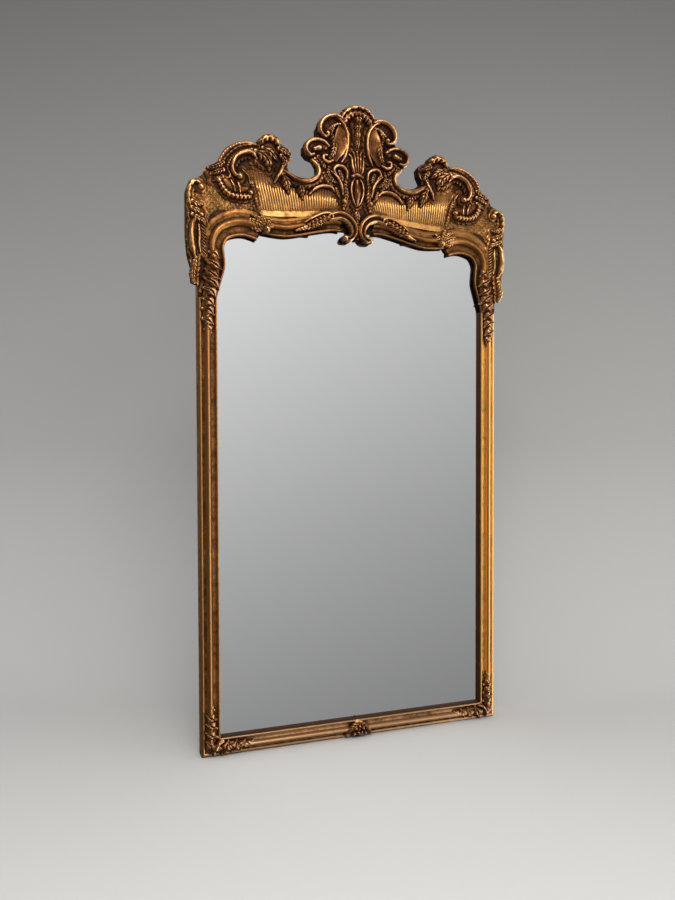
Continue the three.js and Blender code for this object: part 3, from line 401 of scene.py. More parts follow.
def hollow_of(section, reach):
    """How far each point of a section lies below the line drawn round it."""
    step = np.hypot(*np.diff(section, axis=0).T)
    run = np.concatenate([[0], np.cumsum(step)])
    near = np.exp(-((run[:, None] - run) / reach) ** 2)
    return (near @ section[:, 1] / near.sum(1) - section[:, 1]) / 3.2


def bar_of(sections, closed_ends=True):
    """The points and the faces of a bar that joins rings of points."""
    count, size = len(sections), len(sections[0])
    ring = np.arange(size)
    nxt = (ring + 1) % size
    faces = [np.stack([k * size + ring, k * size + nxt, (k + 1) * size + nxt, (k + 1) * size + ring], 1)
             for k in range(count - 1)]
    faces = np.concatenate(faces).tolist()
    if closed_ends:
        faces += [list(ring[::-1]), list(ring + (count - 1) * size)]
    return np.concatenate(sections), faces


def outward(piece):
    """Turns every face of a closed piece outward."""
    mesh = bmesh.new()
    mesh.from_mesh(piece.data)
    bmesh.ops.recalc_face_normals(mesh, faces=mesh.faces)
    mesh.to_mesh(piece.data)
    mesh.free()
    return piece


def hand_of(run, seed, size=0.22):
    """The small waver of a hand-worked length, in mm."""
    dice = np.random.default_rng(seed)
    return size * sum(np.sin(run / dice.uniform(14, 70) + dice.uniform(0, 6.3)) for _ in range(5)) / 2.2


def straight_length(side, seed):
    """A stile (side -1 or 1) or the bottom rail (side 0), mitred where they meet."""
    front = moulding_front(FACE, SIDE)
    section = np.concatenate([front, [[FACE, 0], [REBATE, 0], [REBATE, LEDGE], [0, LEDGE]]])
    dirt = np.concatenate([hollow_of(front, DUST_AND_SHADE_REACH),
                           [0.4, 0.6, 0.6, 2.5]])  # painted shade: black beside the glass, where the sight edge lies in shadow
    # Painted shade on the lip's face at the sight edge.
    dirt[0] = 1.4
    sections, rows_of_dirt_and_shade = [], []
    for share in np.linspace(0, 1, 260 if side else 170):
        if side:
            foot = FACE - section[:, 0] + JOIN
            up = foot + (STILE_TOP - JOIN - foot) * share
            x = side * (SIGHT + section[:, 0])
            waver = hand_of(up, seed)
        else:
            reach = SIGHT + section[:, 0] - JOIN
            x = reach * (2 * share - 1)
            up = FACE - section[:, 0]
            waver = hand_of(x, seed)
        proud = section[:, 1] + np.where(section[:, 1] > SIDE + 1.5, waver * 0.5, 0)
        sections.append(np.stack([x, BACK_Y - proud, up], 1))
        rows_of_dirt_and_shade.append(dirt)
    verts, faces = bar_of(sections)
    return verts, faces, np.concatenate(rows_of_dirt_and_shade)


def lath(side):
    """The plain lath that carries a stile up behind the crest."""
    low, high = np.array(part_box("top_rail")) / MM
    x0, x1 = sorted((side * (SIGHT + REBATE), side * HALF_WIDTH))
    corners = [(x, BACK_Y - d, z) for z in (STILE_TOP - 0.6, high[2])
               for x, d in ((x0, 0), (x1, 0), (x1, LEDGE), (x0, LEDGE))]
    return corners, [(0, 1, 2, 3), (4, 7, 6, 5), (0, 4, 5, 1), (1, 5, 6, 2), (2, 6, 7, 3), (3, 7, 4, 0)]


for side, name in ((-1, "left_stile"), (1, "right_stile"), (0, "bottom_rail")):
    verts, faces, dirt = straight_length(side, seed=7 + side)
    gilded = len(faces)
    if side:
        more, more_faces = lath(side)
        faces += [[i + len(verts) for i in face] for face in more_faces]
        verts = np.concatenate([verts, more])
        dirt = np.concatenate([dirt, [0.6] * len(more)])
    length = outward(piece_of(f"{name}_gilt", verts, faces, STRAIGHT_GILT[name], dirt))
    length.data.materials.append(STRIP_PINE if side else RAIL_PINE)  # the back and the lath stay bare
    for face in length.data.polygons:
        face.material_index = int(face.normal.y > 0.5 or face.index >= gilded)
    fixed(length, "giltwood", name)

# ---------------------------------------------------------------- head mouldings
# The same moulding runs up over the shoulders of the glass, widening as it turns, to a pointed notch on
# each side, and from the notches in a serpentine apron to the middle. Cut from thick pine and gilded.
ARCH = [[333, 0], [323, 36], [314, 70], [315, 95], [316, 114], [307, 131], [290, 138], [272, 140], [256, 137],
        [243, 133]]
APRON = [[229, 149.5], [200, 146.5], [175, 146], [145, 151], [100, 162], [60, 169.5], [42, 169]]


def smooth_line(points, count):
    """Evenly spaced places and their shares along a smooth line through the points."""
    p = np.array(points, float)
    t = np.concatenate([[0], np.cumsum(np.sqrt(np.hypot(*np.diff(p, axis=0).T)))])
    slope = np.gradient(p, t, axis=0)
    u = np.linspace(0, t[-1], 12 * count)
    k = np.clip(np.searchsorted(t, u, side="right") - 1, 0, len(t) - 2)
    gap = (t[k + 1] - t[k])[:, None]
    s = (u - t[k])[:, None] / gap
    line = ((2 * s**3 - 3 * s**2 + 1) * p[k] + (s**3 - 2 * s**2 + s) * gap * slope[k]
            + (3 * s**2 - 2 * s**3) * p[k + 1] + (s**3 - s**2) * gap * slope[k + 1])
    run = np.concatenate([[0], np.cumsum(np.hypot(*np.diff(line, axis=0).T))])
    even = np.linspace(0, run[-1], count)
    return np.stack([np.interp(even, run, line[:, i]) for i in (0, 1)], 1), run[-1]


def swept_moulding(points, side, seed, wide):
    line, length = smooth_line([[x, z + STILE_TOP] for x, z in points], 170)
    along = np.gradient(line, axis=0)
    along /= np.hypot(*along.T)[:, None]
    sections, rows_of_dirt_and_shade = [], []
    for k, (x, z) in enumerate(line):
        share = k / (len(line) - 1)
        width = FACE + (ARCH_FACE - FACE) * min(1, max(0, (share - 0.4) / 0.4)) * wide
        front = moulding_front(width, SEAT + 0.8)
        section = np.concatenate([front, [[width, SEAT], [0, SEAT]]])
        # Painted shade: the sight edge and the face beside the glass are darkened as if in shadow.
        rows_of_dirt_and_shade.append(np.concatenate([[1.2], hollow_of(front, DUST_AND_SHADE_REACH)[1:], [0.6, 2.0]]))
        proud = section[:, 1] + np.where(section[:, 1] > SEAT + 1, hand_of(share * length, seed), 0)
        sections.append(np.stack([side * (x + along[k, 1] * section[:, 0]), BACK_Y - proud,
                                  z - along[k, 0] * section[:, 0]], 1))
    verts, faces = bar_of(sections)
    return verts, faces, np.concatenate(rows_of_dirt_and_shade)


for side, name in ((-1, "left"), (1, "right")):
    for kind, points, wide in (("arch", ARCH, True), ("apron", APRON, False)):
        verts, faces, dirt = swept_moulding(points, side, 20 + side, wide)
        moulding = outward(piece_of(f"{name}_{kind}_gilt", verts, faces, GILT, dirt))
        fixed(moulding, "giltwood", f"{name}_{kind}_moulding")

# ---------------------------------------------------------------- shoulder scrolls
# Carved in pine and planted on the crest boards: a large C-scroll with a rim on each side of its
# hollow, that ends in a round eye, and a thin curl inside it. Cut with gouges, gessoed and gilded.
CELL = 1.0  # spacing of the carved surface, mm
THIN, FULLER = 13, 1.28  # strokes under 13 mm were cut this much fuller
BED_SHARE, BED_PITCH = 0.46, 5.2  # height of the leafy bed beside a stroke, against the stroke; its ribs
BED_HELD = 2.4  # how steeply a bed ends at the edge of the boards
CREASE = 62  # degrees; a sharper cut keeps its edge
SEAT_DUST_AND_SHADE = 0.7  # dust and painted shade where the carving meets its seat


def rolled(u, run, half):
    """A plain round-topped roll."""
    return np.sqrt(np.clip(1 - np.abs(u) ** 2.3, 0, 1))


def channelled(u, run, half):
    """A hollow between a tall rim on the left of the line and a lower one on its right."""
    inner = np.exp(-(((u - 0.66) / 0.34) ** 2))
    outer = 0.70 * np.exp(-(((u + 0.72) / 0.30) ** 2))
    return (0.42 + 0.58 * np.maximum(inner, outer)) * (0.86 + 0.14 * np.abs(np.sin(math.pi * run / 7 + u)))


def lobed(pitch, slant=0.9, cut=0.5, rib=True):
    """An acanthus blade: a midrib groove, and lobes that spring from it at a slant."""
    def form(u, run, half):
        turn = (run - slant * np.abs(u) * half) / pitch
        lobe = np.abs(np.sin(math.pi * turn)) ** 0.7
        top = np.sqrt(np.clip(1 - np.abs(u) ** 2.6, 0, 1))
        blade = top * (1 - cut * (1 - lobe) * np.clip(np.abs(u) * 1.6, 0, 1))
        return blade * (1 - 0.30 * np.exp(-((u / 0.13) ** 2))) if rib else blade

    def edge(run, half):
        return 1 - 0.24 * (1 - np.abs(np.sin(math.pi * (run - slant * half) / pitch)) ** 0.7)
    form.edge = edge
    return form


def stroke(points, widths, heights, form=rolled):
    """One stroke of carving along a line drawn on the crest, from the stile tops up."""
    line, length = smooth_line(points, max(30, 9 * len(points)))
    widths = [width * FULLER if width < THIN else width for width in widths]
    return {"line": line, "length": length, "widths": widths, "heights": heights, "form": form}


def knob(x, z, radius, height):
    return stroke([[x - 0.3, z], [x + 0.3, z]], [2 * radius] * 2, [height] * 2)


def eased(values, share):
    at = share * (len(values) - 1)
    k = np.clip(at.astype(int), 0, len(values) - 2)
    f = at - k
    v = np.array(values, float)
    return v[k] + (v[k + 1] - v[k]) * f * f * (3 - 2 * f)


def along_stroke(one, x, z):
    """For each place: its distance to the stroke's line, its side of it, its share and run along it."""
    a, d = one["line"][:-1], np.diff(one["line"], axis=0)
    rel = np.stack([x, z], -1)[:, None] - a
    f = np.clip((rel * d).sum(-1) / (d * d).sum(-1), 0, 1)
    off = rel - f[..., None] * d
    far = np.hypot(off[..., 0], off[..., 1])
    k, rows = far.argmin(1), np.arange(len(x))
    share = (k + f[rows, k]) / len(a)
    side = np.where(d[k, 0] * off[rows, k, 1] - d[k, 1] * off[rows, k, 0] >= 0, 1, -1)
    return far[rows, k], side, share, share * one["length"]


def cut_of(one, far, side, share, run):
    """Height of a stroke over its seat, and how far inside its edge each place lies."""
    half = eased(one["widths"], share) / 2
    half = half * (one["form"].edge(run, half) if hasattr(one["form"], "edge") else 1)
    u = np.clip(far / half, 0, 1) * side
    height = eased(one["heights"], share) * (0.30 + 0.70 * one["form"](u, run, half))
    return height, half - far


def bed_of(one, wide, far, share, run):
    """The lower, ribbed and scalloped leaf that a stroke lies on."""
    rib = np.abs(np.sin(math.pi * (run + 0.8 * far) / BED_PITCH)) ** 0.8
    lobe = np.abs(np.sin(math.pi * (run + 0.8 * far) / (2.6 * BED_PITCH))) ** 0.6
    reach = eased(one["widths"], share) / 2 + wide * (0.55 + 0.45 * lobe)
    fall = np.clip(1 - (far / reach) ** 2, 0, 1) ** 0.55
    return BED_SHARE * eased(one["heights"], share) * (0.25 + 0.75 * fall) * (0.80 + 0.20 * rib), reach - far


def crest_shape():
    verts, faces = [], []
    for node in ("right_shoulder_board", "crest_center_board"):
        board = NODES[node]
        faces += [[len(verts) + i for i in face.vertices] for face in board.data.polygons]
        verts += [board.matrix_world @ v.co for v in board.data.vertices]
    return BVHTree.FromPolygons(verts, faces)


CREST = crest_shape()


def on_crest(xs, zs, base):
    """Positive where a place of the grid lies on the crest boards, and falling to -1 off them."""
    hit = [[CREST.ray_cast((abs(x) * MM, -0.2, (z + base) * MM), (0, 1, 0))[0] is not None for x in xs]
           for z in zs]
    return softened(np.array(hit) * 2.0 - 1.0, 1)


def softened(heights, reach):
    """Heights averaged over a square of that many cells each way, twice."""
    for _ in range(2):
        for axis in (0, 1):
            padded = np.pad(heights, [(reach + 1, reach) if k == axis else (0, 0) for k in (0, 1)],
                            mode="edge")
            total = np.cumsum(padded, axis=axis)
            wide = 2 * reach + 1
            heights = (np.take(total, range(wide, total.shape[axis]), axis) -
                       np.take(total, range(total.shape[axis] - wide), axis)) / wide
    return heights


def relief(strokes, cell, bed, base):
    """The surface of a group of strokes on an even grid: height over the seat, and inside or not."""
    reach = max(max(s["widths"]) for s in strokes) / 2 + 3 * cell + bed
    ends = np.concatenate([s["line"] for s in strokes])
    low = np.floor((ends.min(0) - reach) / cell) * cell
    xs = np.arange(low[0], ends[:, 0].max() + reach, cell)
    zs = np.arange(low[1], ends[:, 1].max() + reach, cell)
    x, z = (g.ravel() for g in np.meshgrid(xs, zs))
    inside, out = np.full(x.shape, -1e3), np.zeros(x.shape)
    height = np.zeros(x.shape)
    held = BED_HELD * on_crest(xs, zs, base).ravel() if bed else None
    for one in strokes:
        near = max(one["widths"]) / 2 + 3 * cell + bed
        lo, hi = one["line"].min(0) - near, one["line"].max(0) + near
        pick = np.flatnonzero((x > lo[0]) & (x < hi[0]) & (z > lo[1]) & (z < hi[1]))
        far, side, share, run = along_stroke(one, x[pick], z[pick])
        layers = [cut_of(one, far, side, share, run)]
        if bed:
            rise, level = bed_of(one, bed, far, share, run)
            layers.append((rise, np.minimum(level, held[pick])))
        for rise, level in layers:
            out[pick] = np.where(level > inside[pick], rise, out[pick])
            height[pick] = np.where(level > 0, np.maximum(height[pick], rise), height[pick])
            inside[pick] = np.maximum(inside[pick], level)
    inside = np.minimum(inside, CREST_HALF - np.abs(x))
    if base == 0:
        inside = np.minimum(inside, z - 1.5)  # clear of the mantelshelf
    height = np.where(inside > 0, height, out)
    shape = (len(zs), len(xs))
    return xs, zs, height.reshape(shape), inside.reshape(shape)


def skin_of(xs, zs, height, inside):
    """Vertices (x, z, height), front faces, and the open edges along the outline."""
    within = inside > 0
    number = -np.ones(within.shape, int)
    number[within] = np.arange(within.sum())
    gx, gz = np.meshgrid(xs, zs)
    verts = [np.stack([gx[within], gz[within], height[within]], 1)]
    count = len(verts[0])
    crossings = {}
    for way, (a, b) in enumerate(((np.s_[:, :-1], np.s_[:, 1:]), (np.s_[:-1, :], np.s_[1:, :]))):
        cross = within[a] != within[b]
        share = inside[a][cross] / (inside[a][cross] - inside[b][cross])
        share = np.clip(share, 0.06, 0.94)
        mixed = [g[a][cross] + share * (g[b][cross] - g[a][cross]) for g in (gx, gz, height)]
        ids = -np.ones(cross.shape, int)
        ids[cross] = count + np.arange(cross.sum())
        count += cross.sum()
        crossings[way] = ids
        verts.append(np.stack(mixed, 1))
    corners = [number[:-1, :-1], number[:-1, 1:], number[1:, 1:], number[1:, :-1]]
    sides = [crossings[0][:-1, :], crossings[1][:, 1:], crossings[0][1:, :], crossings[1][:, :-1]]
    full = np.all([c >= 0 for c in corners], axis=0)
    faces = np.stack([c[full] for c in corners], 1).tolist()
    partly = np.any([c >= 0 for c in corners], axis=0) & ~full
    edges = []
    for i, j in zip(*np.nonzero(partly)):
        ring = []
        for c, s in zip(corners, sides):
            if c[i, j] >= 0:
                ring.append((c[i, j], False))
            if s[i, j] >= 0:
                ring.append((s[i, j], True))
        faces.append([v for v, _ in ring])
        for (v, cut), (w, next_cut) in zip(ring, ring[1:] + ring[:1]):
            if cut and next_cut:
                edges.append((v, w))
    return np.concatenate(verts), faces, edges


def hollows(xs, zs, heights, places):
    """How far each place lies below the carving round it, from about -1 on a ridge to 1 in a cut."""
    share = (softened(heights, 2) - heights) / 2.2 + (softened(heights, 6) - heights) / 9
    col = np.clip(((places[:, 0] - xs[0]) / (xs[1] - xs[0])).round().astype(int), 0, len(xs) - 1)
    row = np.clip(((places[:, 1] - zs[0]) / (zs[1] - zs[0])).round().astype(int), 0, len(zs) - 1)
    return np.clip(share[row, col], -1, 1.2)


def carved(name, strokes, slot="giltwood", material=None, seat=SEAT, base=STILE_TOP, sides=(1, -1), bed=0):
    """A closed carved piece in the place of its CAD nodes, with its mirror image on the other side."""
    xs, zs, height, inside = relief(strokes, CELL, bed, base)
    top, faces, edges = skin_of(xs, zs, height, inside)
    # The carving's hollows take dust and painted shade, its ridges a painted highlight.
    dirt = hollows(xs, zs, np.where(inside > 0, height, 0), top)
    for side in sides:
        waver = hand_of(top[:, 0] + 1.7 * top[:, 1], 31 + side, 0.3)
        rise = top[:, 2] + np.minimum(1, top[:, 2] / 6) * waver
        front = np.stack([side * top[:, 0], BACK_Y - seat - rise, top[:, 1] + base], 1)
        rim = sorted({v for edge in edges for v in edge})
        foot = {v: len(front) + k for k, v in enumerate(rim)}
        back = np.stack([front[rim, 0], np.full(len(rim), BACK_Y - seat), front[rim, 2]], 1)
        mesh = bmesh.new()
        for place in np.concatenate([front, back]) * MM:
            mesh.verts.new(place)
        mesh.verts.ensure_lookup_table()
        for face in faces:
            mesh.faces.new([mesh.verts[v] for v in (face if side > 0 else face[::-1])])
        for v, w in edges:
            wall = [w, v, foot[v], foot[w]]
            mesh.faces.new([mesh.verts[i] for i in (wall if side > 0 else wall[::-1])])
        outline = [mesh.edges.get((mesh.verts[foot[v]], mesh.verts[foot[w]])) for v, w in edges]
        bmesh.ops.triangle_fill(mesh, use_beauty=False, use_dissolve=False, edges=outline, normal=(0, 1, 0))
        bmesh.ops.recalc_face_normals(mesh, faces=mesh.faces)
        data = bpy.data.meshes.new(name)
        mesh.to_mesh(data)
        mesh.free()
        data.materials.append(material or BRONZED)
        share = data.attributes.new("hollow", "FLOAT", "POINT")
        share.data.foreach_set("value",
                               np.concatenate([dirt, np.full(len(rim), SEAT_DUST_AND_SHADE)]).astype(np.float32))
        data.polygons.foreach_set("use_smooth", [True] * len(data.polygons))
        data.set_sharp_from_angle(angle=math.radians(CREASE))
        full = f"{'right_' if side > 0 else 'left_'}{name}" if len(sides) > 1 else name
        piece = bpy.data.objects.new(f"{full}_carving", data)
        bpy.context.scene.collection.objects.link(piece)
        fixed(piece, slot, full)


carved("shoulder_scroll", [
    stroke([[281, 272], [291, 274], [298, 286], [296, 301], [289, 314], [277, 323], [262, 328], [249, 324],
            [242, 315]],
           [7, 7, 7, 8, 8, 9, 9, 9, 5], [17, 19, 20, 21, 21, 21, 20, 18, 12]),
    knob(281, 272, 6, 20),
    stroke([[273, 289], [267, 283], [260, 276], [256, 260]], [3, 5, 5, 4], [6, 8, 8, 8], lobed(5)),
], bed=9)

# ---------------------------------------------------------------- shoulder acanthus
# Leaves that spill over the scroll and roll up at the top of the shoulder, over a thin rolled rim.
carved("shoulder_leaf", [
    stroke([[308, 274], [317, 290], [308, 313], [288, 331], [262, 340], [240, 342]], [18, 28, 29, 26, 24, 14],
           [9, 14, 16, 16, 15, 11], channelled),
    stroke([[244, 331], [230, 325], [218, 314], [212, 292]], [12, 27, 25, 5], [16, 20, 20, 11],
           lobed(14, cut=0.5)),
    stroke([[228, 340], [212, 331], [194, 318]], [14, 24, 7], [15, 20, 13], lobed(12)),
    stroke([[181, 304], [187, 290], [195, 278], [200, 268]], [8, 8, 7, 4], [15, 17, 15, 9]),
    stroke([[184, 328], [176, 316], [182, 304]], [12, 15, 9], [15, 17, 15], lobed(8)),
    stroke([[190, 344], [178, 338], [166, 334]], [14, 17, 7], [14, 17, 13], lobed(8)),
    stroke([[237, 345], [228, 359], [211, 365], [196, 359], [187, 346]], [12, 17, 18, 17, 11],
           [12, 18, 20, 18, 12], lobed(15, slant=0.3, cut=0.45, rib=False)),
    stroke([[228, 346], [212, 344], [196, 336]], [22, 26, 14], [8, 9, 8], rolled),
    stroke([[248, 322], [236, 308], [224, 300], [212, 296]], [10, 22, 20, 8], [7, 9, 9, 6],
           lobed(10, cut=0.4)),
    stroke([[352, 286], [333, 292], [320, 300], [306, 318], [286, 335], [263, 344], [243, 347]],
           [5, 7, 7, 7, 8, 8, 6],
           [8, 10, 11, 12, 12, 12, 10], lobed(12, slant=0.4, cut=0.5, rib=False)),
    stroke([[318, 298], [330, 290], [343, 285], [352, 284]], [13, 18, 16, 5], [14, 15, 13, 8], lobed(7)),
    stroke([[318, 282], [331, 277], [345, 272]], [13, 18, 6], [14, 15, 9], lobed(7)),
    stroke([[320, 268], [330, 262], [340, 257]], [10, 14, 5], [12, 13, 8], lobed(7)),
], bed=10)
carved("shoulder_ruffle", [
    stroke([[328, 264], [322, 249], [312, 235], [297, 228], [278, 227], [258, 230]], [9, 11, 12, 13, 12, 10],
           [13, 16, 17, 17, 17, 15], lobed(9, slant=0.2, cut=0.4, rib=False)),
    knob(257, 237, 6.5, 20),
    stroke([[312, 258], [298, 246], [280, 243], [264, 246]], [22, 26, 24, 12], [8, 9, 9, 8], rolled),
    stroke([[300, 262], [294, 250], [292, 238]], [5, 6, 5], [10, 12, 12]),
    stroke([[284, 258], [281, 248], [280, 236]], [5, 6, 5], [10, 12, 12]),
    stroke([[238, 208], [243, 226], [248, 246], [253, 266]], [5, 8, 9, 6], [4, 7, 8, 8], lobed(7)),
], bed=7)

# ---------------------------------------------------------------- ears
# A small volute at each corner runs down the ear into a long scroll and a hanging leaf.
carved("ear_scroll", [
    stroke([[368, 242], [372, 250], [383, 251], [391, 242], [394, 226], [393, 206], [388, 190]],
           [7, 8, 10, 10, 9, 9, 6], [12, 13, 14, 13, 12, 11, 9], lobed(15, slant=0.4, cut=0.4, rib=False)),
    knob(367, 241, 5.5, 16),
    stroke([[378, 172], [386, 160], [389, 138], [388, 112], [381, 86]], [7, 10, 13, 12, 5],
           [12, 18, 20, 18, 10]),
    stroke([[380, 86], [384, 64], [387, 46], [384, 31]], [8, 15, 16, 8], [10, 15, 15, 9], lobed(9)),
    stroke([[386, 208], [377, 203], [365, 204]], [10, 15, 6], [12, 15, 9], lobed(8)),
    stroke([[387, 194], [375, 188], [362, 188]], [11, 17, 6], [12, 15, 9], lobed(8)),
    stroke([[386, 179], [375, 172], [364, 168], [357, 158]], [10, 16, 13, 5], [11, 15, 13, 8], lobed(8)),
    knob(367, 180, 5, 14),
    stroke([[372, 158], [371, 138], [372, 116], [369, 98]], [4, 6, 6, 4], [7, 9, 9, 7]),
    *[stroke([[358, z], [367, z + 7]], [2.6, 2.6], [5, 5]) for z in range(96, 156, 7)],
], material=GILT, bed=8)

# ---------------------------------------------------------------- cartouche
# The middle of the crest: a rolled hood over a stem, a scroll and a side volute on each side of a
# smooth hollow, a palmette over an oval boss, and leaf scrolls that run down to the apron.
carved("hood", [
    stroke([[-43, 428], [-33, 443], [-18, 453], [0, 457], [18, 453], [33, 443], [43, 428]],
           [6, 8, 9, 9, 9, 8, 6],
           [20, 24, 27, 28, 27, 24, 20], lobed(17, slant=0.2, cut=0.3, rib=False)),
    stroke([[-36, 420], [-28, 434], [-15, 443], [0, 446], [15, 443], [28, 434], [36, 420]],
           [16, 20, 23, 24, 23, 20, 16],
           [16, 20, 22, 22, 22, 20, 16], lobed(11, slant=0.3, cut=0.35, rib=False)),
    *[stroke([[0, z] for z in heights], widths, rises, lobed(7)) for heights, widths, rises in (
        ((440, 430, 422), [20, 26, 16], [21, 25, 20]), ((421, 413, 406), [16, 21, 13], [18, 22, 17]),
        ((405, 397, 388), [13, 18, 11], [16, 20, 15]), ((388, 377, 364), [11, 15, 6], [14, 18, 12]))],
    stroke([[0, 432], [0, 400], [0, 366]], [40, 26, 16], [12, 11, 9]),
], sides=(1,), bed=7)
carved("cartouche_scroll", [
    stroke([[46, 424], [60, 423], [76, 413], [87, 396]], [20, 32, 34, 26], [18, 20, 19, 16], channelled),
    stroke([[40, 428], [55, 433], [72, 430], [86, 420], [94, 405], [92, 390], [81, 383], [72, 388]],
           [6, 8, 8, 9, 9, 8, 8, 6], [22, 25, 26, 26, 26, 25, 23, 18]),
    knob(75, 391, 5.5, 22),
    stroke([[57, 431], [43, 424], [31, 410], [25, 390], [25, 369], [30, 347], [39, 330]],
           [5, 6, 6, 6, 6, 6, 4],
           [20, 20, 18, 17, 16, 15, 11]),
    stroke([[62, 404], [66, 394], [60, 386], [52, 389]], [8, 9, 8, 5], [17, 18, 17, 13], lobed(7)),
], bed=9)
carved("side_volute", [
    stroke([[72, 363], [85, 371], [101, 373], [116, 369], [126, 358], [126, 346], [117, 338], [108, 341]],
           [6, 8, 9, 9, 9, 8, 8, 6], [17, 21, 23, 23, 23, 22, 20, 16]),
    stroke([[80, 362], [96, 364], [112, 360], [117, 349]], [18, 24, 24, 18], [13, 15, 15, 13], rolled),
    stroke([[107, 352], [95, 356]], [10, 12], [20, 22]),
    stroke([[38, 416], [38, 394], [42, 372], [49, 351], [54, 336]], [20, 34, 36, 30, 14],
           [14, 15, 15, 14, 11],
           lambda u, run, half: 0.62 + 0.38 * np.abs(u) ** 2.6),
    stroke([[60, 384], [56, 368], [60, 350], [68, 336]], [14, 20, 18, 8], [14, 15, 15, 11], lobed(9)),
    stroke([[62, 331], [73, 326], [84, 330], [84, 340], [76, 342]], [6, 7, 7, 7, 5], [15, 17, 18, 17, 14]),
    stroke([[96, 336], [88, 326], [80, 314]], [16, 18, 9], [12, 14, 11], lobed(8)),
    stroke([[104, 330], [98, 318], [92, 306]], [9, 11, 6], [13, 14, 11], lobed(8)),
], bed=8)
blades = []
for reach, tall in ((0, 1.0), (8, 0.96), (16, 0.84)):
    for way in ((1,) if reach == 0 else (-1, 1)):
        blade = [[way * reach * out, 300 + up * tall]
                 for out, up in ((0.45, 0), (0.8, 26), (0.95, 54), (1.25, 60))]
        blades.append(stroke(blade, [5, 7.5, 6.5, 4], [13, 18, 16, 10]))
carved("palmette", blades + [
    stroke([[0, 290], [0, 262], [0, 233]], [9, 19, 5], [13, 19, 12]),
    *[stroke([[way * x, z] for x, z in ((5, 298), (13, 284), (15, 264), (9, 242), (2, 231))], [4, 5, 5, 5, 3],
             [11, 13, 13, 12, 9]) for way in (-1, 1)],
    stroke([[-12, 300], [0, 304], [12, 300]], [8, 10, 8], [14, 17, 14]),
], sides=(1,), bed=8)
carved("cartouche_leaf", [
    stroke([[26, 294], [27, 309], [38, 319], [52, 319], [59, 309], [52, 300]], [5, 6, 7, 7, 6, 5],
           [12, 15, 17, 17, 16, 13]),
    stroke([[44, 308], [40, 296], [38, 280]], [10, 14, 8], [11, 13, 10], lobed(7)),
    stroke([[64, 306], [50, 294], [40, 276], [36, 256]], [5, 7, 7, 5], [12, 15, 15, 12]),
    stroke([[27, 292], [30, 276], [28, 258], [30, 240], [34, 222]], [6, 10, 12, 12, 6], [11, 13, 14, 14, 9],
           lobed(8)),
    stroke([[70, 316], [72, 300], [62, 286], [50, 282]], [6, 9, 10, 6], [11, 14, 14, 10], lobed(7)),
    stroke([[82, 300], [74, 286], [62, 274]], [9, 12, 6], [11, 13, 10], lobed(7)),
    stroke([[52, 268], [48, 256], [42, 246]], [6, 8, 4], [10, 12, 8], lobed(6)),
    knob(33, 240, 5, 16),
], bed=8)

# ---------------------------------------------------------------- gaps
# Each gap beside the cartouche has a rolled rim, an inner scroll and two leaf drops over the flutes.
carved("gap_scroll", [
    stroke([[112, 327], [101, 317], [95, 305], [98, 292], [111, 281], [130, 276], [150, 279], [166, 287],
            [181, 297]],
           [6, 8, 9, 10, 11, 12, 11, 10, 6], [14, 17, 18, 18, 18, 18, 18, 16, 12]),
    stroke([[88, 308], [90, 288], [106, 272], [130, 267], [154, 271], [172, 282]], [8, 12, 14, 14, 12, 7],
           [9, 11, 12, 12, 11, 9],
           lobed(10, slant=0.4, cut=0.4, rib=False)),
    stroke([[180, 286], [173, 270], [167, 248]], [15, 24, 4], [15, 18, 8], lobed(11)),
    stroke([[139, 270], [137, 256], [133, 238]], [12, 19, 4], [14, 17, 7], lobed(9)),
    stroke([[56, 262], [64, 270], [80, 272], [96, 268], [110, 258], [117, 250]], [4, 5, 6, 6, 5, 4],
           [9, 12, 13, 13, 12, 8]),
], bed=3)

# ---------------------------------------------------------------- apron carving
# A leafy boss covers each notch; a gadrooned leaf set with pearls and a C-scroll run to the middle drop.
carved("notch_rosette", [
    stroke([[266, 177], [252, 176], [238, 171], [224, 163]], [5, 16, 22, 18], [9, 14, 17, 17], lobed(8)),
    stroke([[252, 190], [240, 183], [226, 168]], [5, 15, 14], [9, 15, 17], lobed(7)),
    stroke([[232, 194], [228, 182], [221, 166]], [5, 13, 13], [9, 15, 17], lobed(7)),
    stroke([[208, 182], [213, 176], [219, 166]], [5, 12, 13], [9, 14, 17], lobed(7)),
    stroke([[198, 168], [208, 168], [218, 164]], [5, 12, 13], [9, 13, 17], lobed(7)),
    stroke([[252, 160], [240, 160], [226, 162]], [5, 12, 12], [9, 13, 16], lobed(7)),
    knob(220, 159, 8.5, 25),
], material=GILT)
pearls = [knob(x, z, 3.1, 25)
          for x, z in ((122, 175.5), (113, 176.5), (114, 183), (104, 181), (105, 188), (95, 185.5), (96, 192),
                       (86, 190.5), (87, 197), (77, 195.5))]
carved("apron_scroll", [
    stroke([[150, 163], [134, 169], [114, 179], [92, 190], [70, 200]], [5, 15, 24, 25, 16],
           [13, 18, 20, 20, 19],
           lobed(7, slant=1.3, cut=0.5, rib=False)),
    stroke([[130, 182], [108, 195], [84, 206], [68, 206], [63, 197], [70, 191]], [4, 5, 6, 7, 7, 5],
           [16, 21, 22, 22, 21, 18]),
    *pearls,
    stroke([[68, 199], [46, 204], [27, 198], [13, 182], [11, 165], [20, 153], [33, 152]],
           [18, 21, 22, 21, 18, 13, 9], [21, 22, 23, 23, 23, 22, 19],
           lambda u, run, half: 0.55 + 0.45 * np.maximum(np.exp(-(((u - 0.6) / 0.3) ** 2)),
                                                         np.exp(-(((u + 0.6) / 0.3) ** 2)))),
    knob(31, 154, 6, 22),
], material=GILT)
